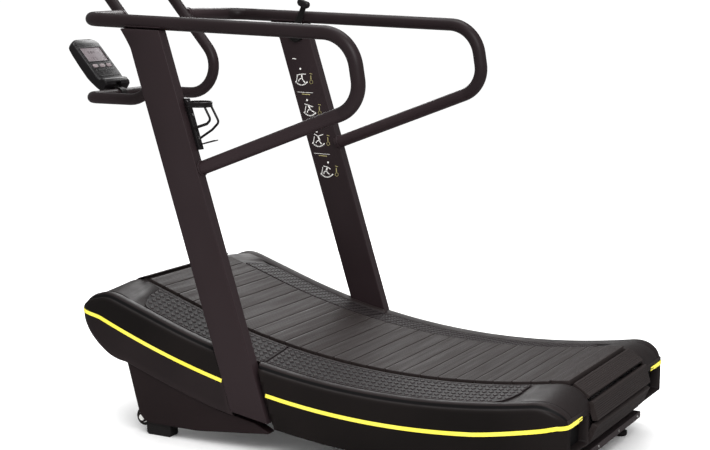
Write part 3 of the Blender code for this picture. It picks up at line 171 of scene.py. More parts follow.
class Shape:
    """A mesh being built out of closed parts."""

    def __init__(self):
        self.bm = bmesh.new()

    def skin(self, rows, closed_ring=True, closed_rows=False, kinds=None):
        """Faces between neighbouring rows of points, all of one length."""
        rows = [[self.bm.verts.new(p) for p in row] for row in rows]
        count = len(rows[0])
        for a, b in zip(rows, rows[1:] + rows[:1] if closed_rows else rows[1:]):
            for k in range(count if closed_ring else count - 1):
                n = (k + 1) % count
                face = self.bm.faces.new((a[k], a[n], b[n], b[k]))
                if kinds:
                    face.material_index = kinds[k]
        return rows

    def loft(self, rings):
        """Skin closed rings and cap both ends."""
        rows = self.skin(rings)
        for end in (rows[0], rows[-1]):
            self.bm.faces.new(end)
        return self

    def prism(self, outline, y0, y1):
        """Extrude an (x, z) outline from y0 to y1."""
        return self.loft([[(x, y, z) for x, z in outline] for y in (y0, y1)])

    def lathe(self, profile, centre, axis=(0, 1, 0), segments=48):
        """Revolve (radius, height) points about the line through centre along axis."""
        axis, side, up = axes(axis)
        self.skin([[Vector(centre) + (side * c + up * s) * r + axis * h for r, h in profile]
                   for c, s in circle(segments)], closed_ring=False, closed_rows=True)
        bmesh.ops.remove_doubles(self.bm, verts=self.bm.verts, dist=1e-6)
        return self

    def weld(self, centre, axis, radius, bead=0.003, ripples=28):
        """A ring of weld bead with ripples."""
        axis, side, up = axes(axis)
        rings = []
        for k, (c, s) in enumerate(circle(ripples * 4)):
            size = bead * (1 + 0.13 * math.cos(math.pi / 2 * k))
            rings.append([Vector(centre) + (side * c + up * s) * (radius + size * out) + axis * size * rise
                          for out, rise in circle(8)])
        self.skin(rings, closed_rows=True)
        return self

    def tube(self, path, radius, segments=32, flatten=1.0):
        """Sweep a round (or flattened) section along a polyline."""
        path = [Vector(p) for p in path]
        rings, side = [], None
        for k, point in enumerate(path):
            ahead = path[min(k + 1, len(path) - 1)] - point
            behind = point - path[max(k - 1, 0)]
            tangent = (ahead.normalized() + behind.normalized()).normalized()
            side = side or tangent.orthogonal().normalized()
            side = (side - tangent * side.dot(tangent)).normalized()
            up = tangent.cross(side)
            rings.append([point + side * radius * c + up * radius * flatten * s for c, s in circle(segments)])
        return self.loft(rings)

    def object(self, name):
        """Turn the mesh into an object in frame coordinates."""
        bmesh.ops.recalc_face_normals(self.bm, faces=self.bm.faces)
        bmesh.ops.translate(self.bm, verts=self.bm.verts, vec=TO_FRAME)
        mesh = bpy.data.meshes.new(name)
        self.bm.to_mesh(mesh)
        self.bm.free()
        return placed(name, mesh)

    def piece(self, name, materials, node=None, body="frame", slot=None, sharp=35, bevel=0.0, thickness=0.0):
        """Finish the mesh as a piece that rides on a body and may stand for a CAD node."""
        obj = self.object(name)
        keys = materials.split()
        for key in keys:
            obj.data.materials.append(MAT[key])
        shade(obj.data, sharp)
        if thickness:
            solid = obj.modifiers.new("Wall", "SOLIDIFY")
            solid.thickness, solid.offset = thickness, -1
        if bevel:
            add_bevel(obj, bevel)
        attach(obj, body)
        if node:
            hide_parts(node)
        return obj


# ---------------------------------------------------------------- materials


def srgb(*display):
    """Linear colour from 0-255 display values."""
    values = [v / 255 for v in display]
    return (*(v / 12.92 if v <= 0.04045 else ((v + 0.055) / 1.055) ** 2.4 for v in values), 1.0)


def scaled(colour, factor):
    return (*(min(1.0, c * factor) for c in colour[:3]), 1.0)


class Graph:
    """A small wrapper that keeps node trees readable."""

    def __init__(self, name):
        self.material = bpy.data.materials.new(name)
        self.material.use_nodes = True
        self.tree = self.material.node_tree
        self.shader = self.tree.nodes["Principled BSDF"]
        self.coords = self.tree.nodes.new("ShaderNodeTexCoord").outputs["Object"]

    def put(self, socket, value):
        if isinstance(value, bpy.types.NodeSocket):
            self.tree.links.new(value, socket)
        else:
            socket.default_value = value

    def node(self, kind, **values):
        node = self.tree.nodes.new(kind)
        for key, value in values.items():
            if hasattr(node, key):
                setattr(node, key, value)
            else:
                self.put(node.inputs[key.replace("_", " ")], value)
        return node

    def stretched(self, scale):
        return self.node("ShaderNodeMapping", Scale=scale, Vector=self.coords).outputs["Vector"]

    def noise(self, scale, detail=3.0, stretch=(1, 1, 1)):
        return self.node("ShaderNodeTexNoise", Scale=scale, Detail=detail, Roughness=0.55,
                         Vector=self.stretched(stretch)).outputs["Fac"]

    def cells(self, scale):
        return self.node("ShaderNodeTexVoronoi", Scale=scale, Vector=self.coords).outputs["Distance"]

    def remap(self, value, low, high, to_low=0.0, to_high=1.0):
        return self.node("ShaderNodeMapRange", Value=value, From_Min=low, From_Max=high,
                         To_Min=to_low, To_Max=to_high).outputs["Result"]

    def mix(self, factor, a, b):
        node = self.node("ShaderNodeMix", data_type="RGBA")
        for index, value in ((0, factor), (6, a), (7, b)):
            self.put(node.inputs[index], value)
        return node.outputs[2]

    def math(self, operation, a, b):
        node = self.node("ShaderNodeMath", operation=operation)
        for socket, value in zip(node.inputs, (a, b)):
            self.put(socket, value)
        return node.outputs[0]

    def plus(self, a, b):
        return self.math("ADD", a, b)

    def times(self, a, b):
        return self.math("MULTIPLY", a, b)

    def edges(self, low=0.505, high=0.56):
        """1 on convex edges, where rims are painted lighter as a highlight."""
        return self.remap(self.node("ShaderNodeNewGeometry").outputs["Pointiness"], low, high)

    def bump(self, height, strength, distance):
        node = self.node("ShaderNodeBump", Strength=strength, Distance=distance, Height=height)
        self.tree.links.new(node.outputs["Normal"], self.shader.inputs["Normal"])

    def finish(self, colour, roughness, metallic=0.0, **others):
        values = {"Base Color": colour, "Roughness": roughness, "Metallic": metallic, **others}
        for key, value in values.items():
            self.put(self.shader.inputs[key.replace("_", " ")], value)
        return self.material


def powder_coat(g, colour, lighter, roughness=0.38):
    """Orange-peel paint with a little colour drift and rims painted lighter as a highlight."""
    tone = g.mix(g.remap(g.noise(2.2, 2.0), 0.35, 0.65), colour, lighter)
    # painted highlight: convex rims are mixed towards a brighter tone
    tone = g.mix(g.times(g.edges(), 0.5), tone, scaled(lighter, 2.2))
    g.bump(g.plus(g.noise(420.0, 2.0), g.times(g.noise(1600.0, 1.0), 0.5)), 0.1, 0.0006)
    gloss = g.remap(g.noise(9.0), 0.3, 0.7, roughness - 0.05, roughness + 0.07)
    return g.finish(tone, gloss, Specular_IOR_Level=0.16)


def moulded_plastic(g, colour, lighter, roughness=0.5, grain=900.0, depth=0.14, coat=0.0):
    """Injection-moulded plastic with a fine leather-like grain and rims painted lighter as a highlight."""
    drift = g.remap(g.noise(3.0, 2.0), 0.35, 0.65)
    speck = g.remap(g.noise(grain * 0.6, 2.0), 0.35, 0.65)
    tone = g.mix(g.times(speck, 0.25), g.mix(drift, colour, lighter), lighter)
    # painted highlight: convex rims and ridges are mixed towards a brighter tone
    tone = g.mix(g.times(g.edges(0.51, 0.58), 0.35), tone, scaled(lighter, 2.0))
    g.bump(g.plus(g.cells(grain), g.times(g.noise(grain * 1.7, 2.0), 0.6)), depth, 0.0005)
    gloss = g.remap(g.noise(14.0), 0.3, 0.7, roughness - 0.06, roughness + 0.06)
    return g.finish(tone, gloss, Specular_IOR_Level=0.16, Coat_Weight=coat, Coat_Roughness=0.2)


def tread_rubber(g, colour, lighter):
    """Hard slat rubber: fine lengthwise streaks, dusty grain and rims painted lighter as a highlight."""
    streak = g.noise(90.0, stretch=(1.0, 0.04, 1.0))
    dust = g.noise(650.0, 2.0)
    patch = g.remap(g.noise(6.0, stretch=(1.0, 0.5, 1.0)), 0.3, 0.7)
    tone = g.mix(g.remap(streak, 0.35, 0.7, 0.0, 0.55), colour, lighter)
    tone = g.mix(g.times(patch, 0.35), tone, lighter)
    tone = g.mix(g.remap(dust, 0.56, 0.75, 0.0, 0.35), tone, scaled(lighter, 1.7))
    # painted highlight: convex slat rims are mixed towards a brighter tone
    tone = g.mix(g.times(g.edges(0.505, 0.54), 0.25), tone, scaled(lighter, 2.2))
    g.bump(g.plus(dust, streak), 0.22, 0.0006)
    return g.finish(tone, g.remap(streak, 0.3, 0.7, 0.5, 0.68), Specular_IOR_Level=0.18)


def pad_rubber(g, colour, lighter):
    """Step-pad rubber: stud rims and edges painted lighter as a highlight."""
    dust = g.noise(700.0, 2.0)
    # painted highlight: convex stud rims are mixed fully towards the lighter tone
    tone = g.mix(g.edges(0.5, 0.55), colour, lighter)
    tone = g.mix(g.remap(dust, 0.5, 0.75, 0.0, 0.4), tone, lighter)
    g.bump(g.plus(dust, g.noise(1500.0, 1.0)), 0.25, 0.0005)
    return g.finish(tone, g.remap(dust, 0.3, 0.7, 0.48, 0.62), Specular_IOR_Level=0.18)


def brushed_metal(g, colour, roughness, stretch):
    """Bare metal with tool marks drawn out along one direction."""
    lines = g.noise(260.0, stretch=stretch)
    tone = g.mix(lines, colour, scaled(colour, 0.7))
    g.bump(lines, 0.12, 0.0003)
    return g.finish(tone, g.remap(lines, 0.3, 0.7, roughness - 0.08, roughness + 0.1), 1.0)


def cast_metal(g, colour):
    """Sand-cast surface."""
    tone = g.mix(g.remap(g.noise(30.0), 0.3, 0.7), colour, scaled(colour, 1.6))
    g.bump(g.plus(g.cells(500.0), g.noise(240.0)), 0.3, 0.0006)
    return g.finish(tone, 0.55, 0.35)


def gloss_trim(g, colour, lighter):
    """Gloss plastic strip with a soft colour drift and faint extrusion lines."""
    lines = g.noise(500.0, 2.0, stretch=(0.02, 0.02, 1.0))
    tone = g.mix(g.remap(g.noise(5.0, 2.0), 0.3, 0.7), colour, lighter)
    g.bump(lines, 0.1, 0.0003)
    return g.finish(tone, g.remap(lines, 0.3, 0.7, 0.3, 0.4), Coat_Weight=0.2)


def printed_ink(g, colour):
    """Screen-printed ink: slightly patchy coverage."""
    patch = g.noise(900.0, 2.0)
    tone = g.mix(g.remap(patch, 0.4, 0.7, 0.0, 0.35), colour, scaled(colour, 0.6))
    g.bump(patch, 0.15, 0.0002)
    return g.finish(tone, 0.55)


def lcd_window(g, colour, lighter, darker):
    """Grey liquid-crystal window: faint pixel grid under a glossy cover."""
    tone = g.mix(g.remap(g.noise(14.0, 2.0), 0.3, 0.7), colour, lighter)
    grid = g.node("ShaderNodeTexChecker", Scale=900.0, Vector=g.coords).outputs["Fac"]
    tone = g.mix(g.times(grid, 0.12), tone, darker)
    return g.finish(tone, 0.3, Specular_IOR_Level=0.3, Coat_Weight=0.15, Coat_Roughness=0.05)


MAT, SLOT = {}, {}


def finish(key, slot, maker, name, *tones, **settings):
    """Add a material and keep the record's slot for it in SLOT."""
    MAT[key] = maker(Graph(name), *(srgb(*tone) for tone in tones), **settings)
    SLOT[key] = slot


finish("paint", "frame_paint", powder_coat, "frame_powder_coat", (26, 19, 20), (34, 26, 28))
finish("stand", "stand_paint", powder_coat, "stand_powder_coat", (20, 13, 14), (27, 19, 20), roughness=0.42)
# skirt: lighter copy of the cover for the front cover below the stripe, painted light on its lower flank
finish("skirt", "cover_plastic", powder_coat, "cover_painted_light_skirt", (25, 19, 20), (33, 26, 27), roughness=0.42)
finish("panel", "panel_paint", powder_coat, "rear_panel_paint", (34, 29, 30), (44, 38, 39), roughness=0.5)
# cover_top and cover_side are one plastic: the top copy is painted lighter as light from above, the side copy
# darker as painted shade
finish("cover_top", "cover_plastic", moulded_plastic, "cover_plastic_painted_light_top", (25, 20, 20), (33, 27, 27),
       roughness=0.52)
finish("cover_side", "cover_plastic", moulded_plastic, "cover_plastic_painted_shade_side", (15, 11, 10), (22, 17, 16),
       roughness=0.52, depth=0.1)
# near-black: painted shade in cover grooves and the cover-end recess, a painted shadow strip along the trim, and
# the LCD digits' own colour
finish("channel", "cover_plastic", moulded_plastic, "painted_shade_and_digit_black", (9, 8, 9), (13, 12, 13), roughness=0.6)
finish("black", "black_plastic", moulded_plastic, "gloss_black_plastic", (14, 12, 13), (21, 19, 20),
       roughness=0.3, grain=1500.0, depth=0.05, coat=0.15)
finish("satin_black", "black_plastic", moulded_plastic, "satin_black_plastic", (13, 12, 12), (20, 18, 18))
finish("grey", "button_grey", moulded_plastic, "button_plastic", (108, 98, 100), (124, 114, 116),
       roughness=0.45, grain=1800.0, depth=0.05)
finish("nylon", "wheel_nylon", moulded_plastic, "white_nylon", (212, 212, 208), (228, 228, 225),
       roughness=0.45, grain=1600.0, depth=0.05)
finish("slat", "belt_slat", tread_rubber, "slat_rubber", (24, 19, 19), (41, 35, 34))
finish("rubber", "rubber", tread_rubber, "black_rubber", (16, 14, 14), (25, 23, 23))
finish("pad", "step_pad", pad_rubber, "pad_rubber", (14, 9, 10), (38, 32, 33))
finish("steel", "steel", brushed_metal, "turned_steel", (190, 190, 192), roughness=0.32, stretch=(1.0, 14.0, 1.0))
finish("zinc", "steel", brushed_metal, "zinc_screws", (200, 200, 198), roughness=0.28, stretch=(8.0, 8.0, 1.0))
finish("aluminium", "steel", brushed_metal, "machined_aluminium", (205, 206, 208),
       roughness=0.3, stretch=(1.0, 10.0, 1.0))
finish("cast", "steel", cast_metal, "cast_iron", (42, 41, 42))
finish("yellow", "yellow_trim", gloss_trim, "yellow_trim", (236, 220, 52), (246, 234, 88))
finish("ink", "frame_paint", printed_ink, "white_ink", (232, 230, 226))
finish("ink_yellow", "frame_paint", printed_ink, "pale_yellow_ink", (176, 166, 110))
finish("lcd", "screen", lcd_window, "lcd_window", (98, 89, 93), (116, 107, 110), (84, 78, 80))

# ---------------------------------------------------------------- belt

RAMP_LENGTH = RAMP_SLATS * PITCH
RETURN_START, RETURN_END = (math.atan2(*reversed(axis - RETURN_CENTRE)) for axis in (REAR_AXIS, FRONT_AXIS))
# arc, rear wrap, return run and front wrap: length, centre, radius (negative where it curves upwards), heading
CURVES = (
    (ARC_SLATS * PITCH, ARC_CENTRE, -ARC_RADIUS, math.pi + FRONT_SLOPE),
    (REAR_RADIUS * (REAR_SLOPE + RETURN_START + math.pi * 1.5), REAR_AXIS, REAR_RADIUS, math.pi - REAR_SLOPE),
    (RETURN_RADIUS * (RETURN_END - RETURN_START), RETURN_CENTRE, RETURN_RADIUS, RETURN_START + math.pi / 2),
    (FRONT_RADIUS * (math.pi / 2 + FRONT_SLOPE - RETURN_END), FRONT_AXIS, FRONT_RADIUS, RETURN_END + math.pi / 2))
STRETCHES = (("ramp", "belt_ramp", "belt_ramp"), ("top", "belt_arc", "belt_top"),
             ("rear_wrap", "belt_rear_wrap", "rear_drum"), ("return", "belt_return", "belt_return"),
             ("front_wrap", "belt_front_wrap", "front_drum"))      # name, CAD node, body


def belt_point(s):
    """Stretch number, point, heading and outward normal of the closed pitch line, as (x, z) vectors."""
    if s < RAMP_LENGTH:
        index, heading = 0, math.pi + FRONT_SLOPE
        point = FRONT_AXIS + Vector((-math.sin(FRONT_SLOPE), math.cos(FRONT_SLOPE))) * FRONT_RADIUS
        point = point + Vector((math.cos(heading), math.sin(heading))) * s
    else:
        s -= RAMP_LENGTH
        for index, (length, centre, radius, start) in enumerate(CURVES, start=1):
            if s < length or index == len(CURVES):
                break
            s -= length
        heading = start + s / radius
        point = centre + Vector((math.sin(heading), -math.cos(heading))) * radius
    along = Vector((math.cos(heading), math.sin(heading)))
    return index, point, along, Vector((along.y, -along.x))


def surface_z(x):
    """Height of the running surface at x, continued straight past both ends."""
    top = ARC_RADIUS - SLAT_DEPTH
    low = ARC_CENTRE.x - top * math.sin(REAR_SLOPE)
    high = ARC_CENTRE.x + top * math.sin(FRONT_SLOPE)
    inside = min(max(x, low), high)
    z = ARC_CENTRE.y - math.sqrt(top ** 2 - (inside - ARC_CENTRE.x) ** 2)
    return z + max(x - high, 0) * math.tan(FRONT_SLOPE) + max(low - x, 0) * math.tan(REAR_SLOPE)


def slat_profile():
    """Ribbed top, rounded shoulders and a plain underside, as (along, outward) points."""
    half, top, ribs = SLAT_LENGTH / 2, SLAT_DEPTH, 9
    groove, depth, shoulder = 0.0011, 0.0006, 0.0016
    rear = [(-half + 0.002, 0.0), (-half, 0.003), (-half, top - shoulder), (-half + 0.0005, top - 0.0005),
            (-half + shoulder, top)]
    ridges = []
    for middle in spread(-half + shoulder, half - shoulder, ribs + 1)[1:-1]:
        ridges += [(middle + groove * u, top - depth * w) for u, w in ((-1, 0), (-0.5, 1), (0.5, 1), (1, 0))]
    return rear + ridges + [(-u, w) for u, w in reversed(rear)]


def build_belt():
    chamfer, middle = 0.002, SLAT_DEPTH / 2
    half = PITCH / 2 - 0.0001
    back, tooth = -0.003, -0.004
    band = [(-half, -0.0001), (half, -0.0001), (half, back), (half * 0.55, back), (half * 0.5, tooth),
            (-half * 0.5, tooth), (-half * 0.55, back), (-half, back)]
    slats, bands = [[Shape() for _ in STRETCHES] for _ in range(2)]
    for k in range(TOTAL_SLATS):
        index, point, along, outward = belt_point((k + REST_PHASE) * PITCH)

        def place(u, w, y):
            p = point + along * u + outward * w
            return (p.x, y, p.y)

        rings = []
        for y, inset in ((-BELT_HALF_WIDTH, chamfer), (-BELT_HALF_WIDTH + chamfer, 0.0),
                         (BELT_HALF_WIDTH - chamfer, 0.0), (BELT_HALF_WIDTH, chamfer)):
            shrink, low = 1 - inset / (SLAT_LENGTH / 2), 1 - inset * 0.6 / middle
            rings.append([place(u * shrink, middle + (w - middle) * low, y) for u, w in slat_profile()])
        slats[index].loft(rings)
        for side in (1, -1):
            bands[index].loft([[place(u, w, side * y) for u, w in band] for y in RUBBER_Y])
    for slat, carrier, (name, node, body) in zip(slats, bands, STRETCHES):
        slat.piece(f"slats_{name}", "slat", node, body, sharp=30)
        carrier.piece(f"slat_carrier_belts_{name}", "rubber", body=body, slot="belt_slat")


# ---------------------------------------------------------------- covers, pads and trim

NOSE_BEND, NOSE_LOW_BEND = 0.585, 0.5465        # where upper and lower edge start to close at the nose
TAIL_BEND, TAIL_LOW_BEND = -0.84, -0.862       # the same at the tail
NOSE_CORNER_X, NOSE_CORNER = 0.67, 0.042        # where the ends round inwards, and by how much
TAIL_CORNER_X, TAIL_CORNER = -0.87, 0.045
PAD_BED_X, PAD_BED_Y, PAD_BED_EASE = (-0.79, 0.565), (0.2605, 0.3998), 0.02
FLOOR_GAP = 0.058
END_GAP = 0.0012
# half section of a cover from the belt outwards: (y, height above the running surface)
TOP_SHAPE = [(0.2465, -0.026), (0.2465, -0.0105), (0.2475, -0.0085), (0.25, -0.0075), (0.256, -0.0075),
             (0.26, -0.0085), (0.2615, -0.0105), (0.398, -0.029), (0.3995, -0.0262), (0.402, -0.0242),
             (0.408, -0.0222), (0.416, -0.0196), (0.424, -0.0182), (0.431, -0.0182), (0.437, -0.02),
             (0.4405, -0.024), (0.442, -0.029), (0.444, -0.0325), (0.4465, -0.0335), (0.45, -0.034),
             (0.4532, -0.0365), (0.4548, -0.0415), (0.4552, -0.048)]
# cover faces starting at these widths are painted near-black as painted shade in the grooves
GROOVES = (0.398, 0.4405, 0.442)
SIDE_SHAPE = [(0.4556, -0.062), (0.4558, -0.08), (0.456, -0.0995), (0.456, -0.1105), (0.4556, -0.13),
              (0.455, -0.155), (0.4546, -0.18), (0.4542, -0.199), (0.453, -0.2035), (0.45, -0.205),
              (0.44, -0.205)]
# materials of a cover shell: cover_top painted light on top faces, cover_side painted shade on side faces, skirt a
# lighter painted copy, channel painted shade
SHELL_KINDS = ("cover_top cover_side skirt channel").split()


def round_off(x, start, end):
    """0 up to start, then along a quarter ellipse to 1 at end."""
    return 1 - math.sqrt(max(0.0, 1 - max(0.0, (x - start) / (end - start)) ** 2))


def cover_low(x):
    """Lower edge of the covers."""
    return max(surface_z(x) - COVER_HEIGHT - 0.008 * min(max(x * 5, 0), 1), FLOOR_GAP)


def pad_bed(x):
    """1 where the pad lies in its recess, 0 at the plain ends of the cover."""
    rear, front = PAD_BED_X
    return smooth_step((x - rear) / PAD_BED_EASE) * smooth_step((front - x) / PAD_BED_EASE)


def cover_ring(x, side):
    """Section of a cover at x, as points from the belt outwards and down."""
    a, b = (max(0.0, (x - bend) / (NOSE_X - bend)) ** 2 for bend in (NOSE_BEND, NOSE_LOW_BEND))
    top = surface_z(x) * (1 - a) + (NOSE_TIP_Z + 0.007) * a
    low = cover_low(min(x, NOSE_LOW_BEND)) * (1 - b) + (NOSE_TIP_Z - 0.006) * b
    c = round_off(x, TAIL_BEND, TAIL_X)
    top = top * (1 - c) + TAIL_FACE_Z[1] * c
    low += (TAIL_FACE_Z[0] - low) * round_off(x, TAIL_LOW_BEND, TAIL_X)
    squeeze = (top - low) / COVER_HEIGHT
    corner = NOSE_CORNER * round_off(x, NOSE_CORNER_X, NOSE_X) + TAIL_CORNER * round_off(x, TAIL_CORNER_X, TAIL_X)
    inner_y = TOP_SHAPE[0][0]
    ring = []
    for y, drop in TOP_SHAPE + SIDE_SHAPE:
        if PAD_BED_Y[0] < y < PAD_BED_Y[1]:
            flat = -0.008 - (y - PAD_BED_Y[0]) * 0.103
            drop = flat + (drop - flat) * pad_bed(x)
        scale = squeeze if drop < -0.05 else min(1.0, squeeze * 1.15)
        ring.append((x, side * (y - corner * ((y - inner_y) / 0.21) ** 2), top + drop * scale))
    return ring


def cover_stations():
    """Where the cover's sections stand, close together at its round ends."""
    stations = set(spread(TAIL_BEND, NOSE_BEND, 96))
    for bend, end, first, count in ((NOSE_BEND, NOSE_X - END_GAP, 6, 16), (TAIL_BEND, TAIL_X - END_GAP, 5, 18)):
        stations.update(bend + (end - bend) * math.sin(math.radians(a)) for a in spread(first, 90, count))
    return sorted(stations, reverse=True)


def slant_plane(offset):
    """A point on a plane parallel to the uprights, `offset` ahead of their rear face."""
    return Vector((UPRIGHT_REAR_FOOT + offset, 0, 0))


SLANT_NORMAL = Vector((1, 0, -UPRIGHT_LEAN)).normalized()


def cut(shape, point, normal, keep_positive=None):
    bm = shape.bm
    bmesh.ops.bisect_plane(bm, geom=bm.verts[:] + bm.edges[:] + bm.faces[:], plane_co=point, plane_no=normal,
                           dist=1e-6, clear_outer=keep_positive is False, clear_inner=keep_positive is True)


def cover_shell(side):
    # top faces take the lighter copy and side faces the darker copy: painted light and painted shade
    kinds = [0] * (len(TOP_SHAPE) - 5) + [1] * (len(SIDE_SHAPE) + 5)
    for k, (y, _) in enumerate(TOP_SHAPE):
        # groove faces take the near-black: painted shade
        if y in GROOVES:
            kinds[k] = SHELL_KINDS.index("channel")
    shape = Shape()
    shape.skin([cover_ring(x, side) for x in cover_stations()], closed_ring=False, kinds=kinds)
    return shape


def build_cover_pair(side, name):
    front, rear = cover_shell(side), cover_shell(side)
    cut(front, slant_plane(-0.012), SLANT_NORMAL, keep_positive=True)
    cut(rear, slant_plane(-0.015), SLANT_NORMAL, keep_positive=False)
    ahead, notch_y = slant_plane(UPRIGHT_DEPTH + 0.002), UPRIGHT_Y[0] - 0.003
    cut(front, ahead, SLANT_NORMAL)
    cut(front, Vector((0, side * notch_y, 0)), Vector((0, 1, 0)))
    middles = {face: face.calc_center_median() for face in front.bm.faces}
    # front cover faces below the stripe take the lighter copy: painted light
    for face, middle in middles.items():
        if SHELL_KINDS[face.material_index] == "cover_side" and middle.z < stripe_z(middle.x):
            face.material_index = SHELL_KINDS.index("skirt")
    notch = [face for face, middle in middles.items()
             if (middle - ahead).dot(SLANT_NORMAL) < 0 and side * middle.y > notch_y]
    bmesh.ops.delete(front.bm, geom=notch, context="FACES")
    return [shape.piece(f"{part}_cover_shell_{name}", " ".join(SHELL_KINDS), f"{part}_cover_{name}",
                        sharp=50, thickness=0.003) for part, shape in (("front", front), ("rear", rear))]


def build_cover_end(side, name):
    """Rear face of a cover: chamfered rim round a rectangular recess whose back is painted near-black as painted
    shade.
    """
    tip = cover_ring(TAIL_X + END_GAP, side)
    outer = max(side * p[1] for p in tip)
    low, high = min(p[2] for p in tip), max(p[2] for p in tip)
    x = TAIL_X + 0.0014

    def window(y0, y1, z0, z1, depth, corner):
        centre_y, half_y, half_z = (y0 + y1) / 2, (y1 - y0) / 2 - corner, (z1 - z0) / 2 - corner
        ring = []
        for k, (sy, sz) in enumerate(((1, 1), (-1, 1), (-1, -1), (1, -1))):
            for y, z in arc_points((centre_y + sy * half_y, (z0 + z1) / 2 + sz * half_z), corner,
                                   90 * k, 90 * k + 90, 5):
                ring.append((x + depth, side * y, z))
        return ring

    rim = Shape()
    rim.skin([window(0.247, outer, low, high, 0.03, 0.004), window(0.247, outer, low, high, 0.0, 0.004),
              window(0.258, outer - 0.014, low + 0.002, high - 0.021, -0.0006, 0.007),
              window(0.262, outer - 0.018, low + 0.006, high - 0.025, 0.0045, 0.006),
              window(0.263, outer - 0.019, low + 0.007, high - 0.026, 0.03, 0.006)])
    back = [window(0.26, outer - 0.012, low + 0.002, high - 0.005, depth, 0.006) for depth in (0.026, 0.032)]
    # recess back takes the near-black: painted shade
    Shape().loft(back).piece(f"cover_end_recess_{name}", "channel")
    return rim.piece(f"cover_end_rim_{name}", "cover_top", sharp=40)


STRIPE_REAR_BEND, STRIPE_TAIL_Z = -0.66, 0.219


def stripe_z(x):
    """Centre line of the yellow trim on the side of the covers."""
    if x > 0.16:
        rise = 0.2214 + 0.2816 * (x - 0.193) + 0.1907 * (x - 0.193) * (x - 0.41)
        return min(rise, 0.3665 + 0.21 * (x - 0.638))
    z = surface_z(max(x, STRIPE_REAR_BEND)) - STRIPE_DROP
    return z + (STRIPE_TAIL_Z - z) * min(1.0, max(0.0, (STRIPE_REAR_BEND - x) / 0.262)) ** 1.2


def stripe_path(side, part):
    """Rough route of a trim strip; it is laid onto the cover afterwards."""
    if part == "front":
        start = upright_front(0.22) + 0.004
        return [Vector((x, side * (0.46 - 0.05 * max(0, (x - 0.66) / 0.06) ** 2), stripe_z(x)))
                for x in spread(start, 0.722, 60)]
    bend_x, behind_x, inner_y, z = -0.905, -0.95, 0.312, STRIPE_TAIL_Z
    route = [Vector((x, side * 0.46, stripe_z(x))) for x in spread(upright_rear(0.19) - 0.02, bend_x, 70)]
    corner = round_path([(bend_x, side * 0.46, z), (behind_x, side * 0.45, z), (behind_x, side * inner_y, z)],
                        (0.03,), steps=12)
    return route + corner[1:-1] + [Vector((behind_x, side * y, z)) for y in spread(0.4, inner_y, 14)]


def surface_tree(*objs):
    """Search tree of the pieces' outer skins."""
    points, polygons = [], []
    for obj in objs:
        first = len(points)
        points += [v.co - TO_FRAME for v in obj.data.vertices]
        polygons += [[first + i for i in p.vertices] for p in obj.data.polygons]
    return BVHTree.FromPolygons(points, polygons)


STRIP_SUNK = -0.0008


def laid_strip(tree, route, half, proud):
    """A strip with rounded edges lying on a surface along a route."""
    spots = []
    for p in route:
        inner = Vector((min(max(p.x, -0.85), 0.64), math.copysign(min(abs(p.y), 0.35), p.y), p.z))
        spot, normal, _, _ = tree.ray_cast(p + (p - inner).normalized() * 0.05, inner - p)
        if spot is None:
            spot, normal, _, _ = tree.find_nearest(p)
        spots.append((spot, normal if normal.dot(p - inner) >= 0 else -normal))
    edge = [(1, STRIP_SUNK), (1, proud * 0.55), (0.8, proud)]
    section = [(-half * u, w) for u, w in edge] + [(half * u, w) for u, w in reversed(edge)]
    rings = []
    for k, (spot, normal) in enumerate(spots):
        ahead = spots[min(k + 1, len(spots) - 1)][0] - spots[max(k - 1, 0)][0]
        across = normal.cross(ahead.normalized()).normalized()
        rings.append([spot + across * u + normal * w for u, w in section])
    return Shape().loft(rings)


def build_trim(side, name, shells, end):
    for part, shell in zip(("front", "rear"), shells):
        tree = surface_tree(shell, end)
        route = stripe_path(side, part)
        laid_strip(tree, route, 0.006, 0.002).piece(
            f"{part}_yellow_trim_{name}", "yellow", f"{part}_trim_{name}")
        # wider near-black strip under the trim: painted shadow of the gap along its edges
        laid_strip(tree, [p for p in route if p.x > -0.9], 0.008, 0.0004).piece(
            f"{part}_trim_channel_{name}", "channel")


PAD_INNER, PAD_OUTER = 0.2622, 0.3975
PAD_RIM, PAD_RIM_UP = 0.0035, (-0.003, 0.0009, 0.0011)
STUD_PITCH, STUD_HEIGHT = 0.0215, 0.0022
STUD_BASE, STUD_TOP = 0.0098, 0.0062


def pad_z(x, y):
    """Upper face of the step pads."""
    return surface_z(x) - 0.0066 - (y - PAD_INNER) * 0.135


def pad_edge(x, tip, reach):
    """Outer edge of a pad; it curves inwards towards its tip, the end away from the upright."""
    t = min(1.0, max(0.0, math.copysign(1.0, tip) * (tip - x) / reach))
    return PAD_INNER + 0.006 + (PAD_OUTER - PAD_INNER - 0.006) * math.sqrt(1 - (1 - t) ** 2.4)


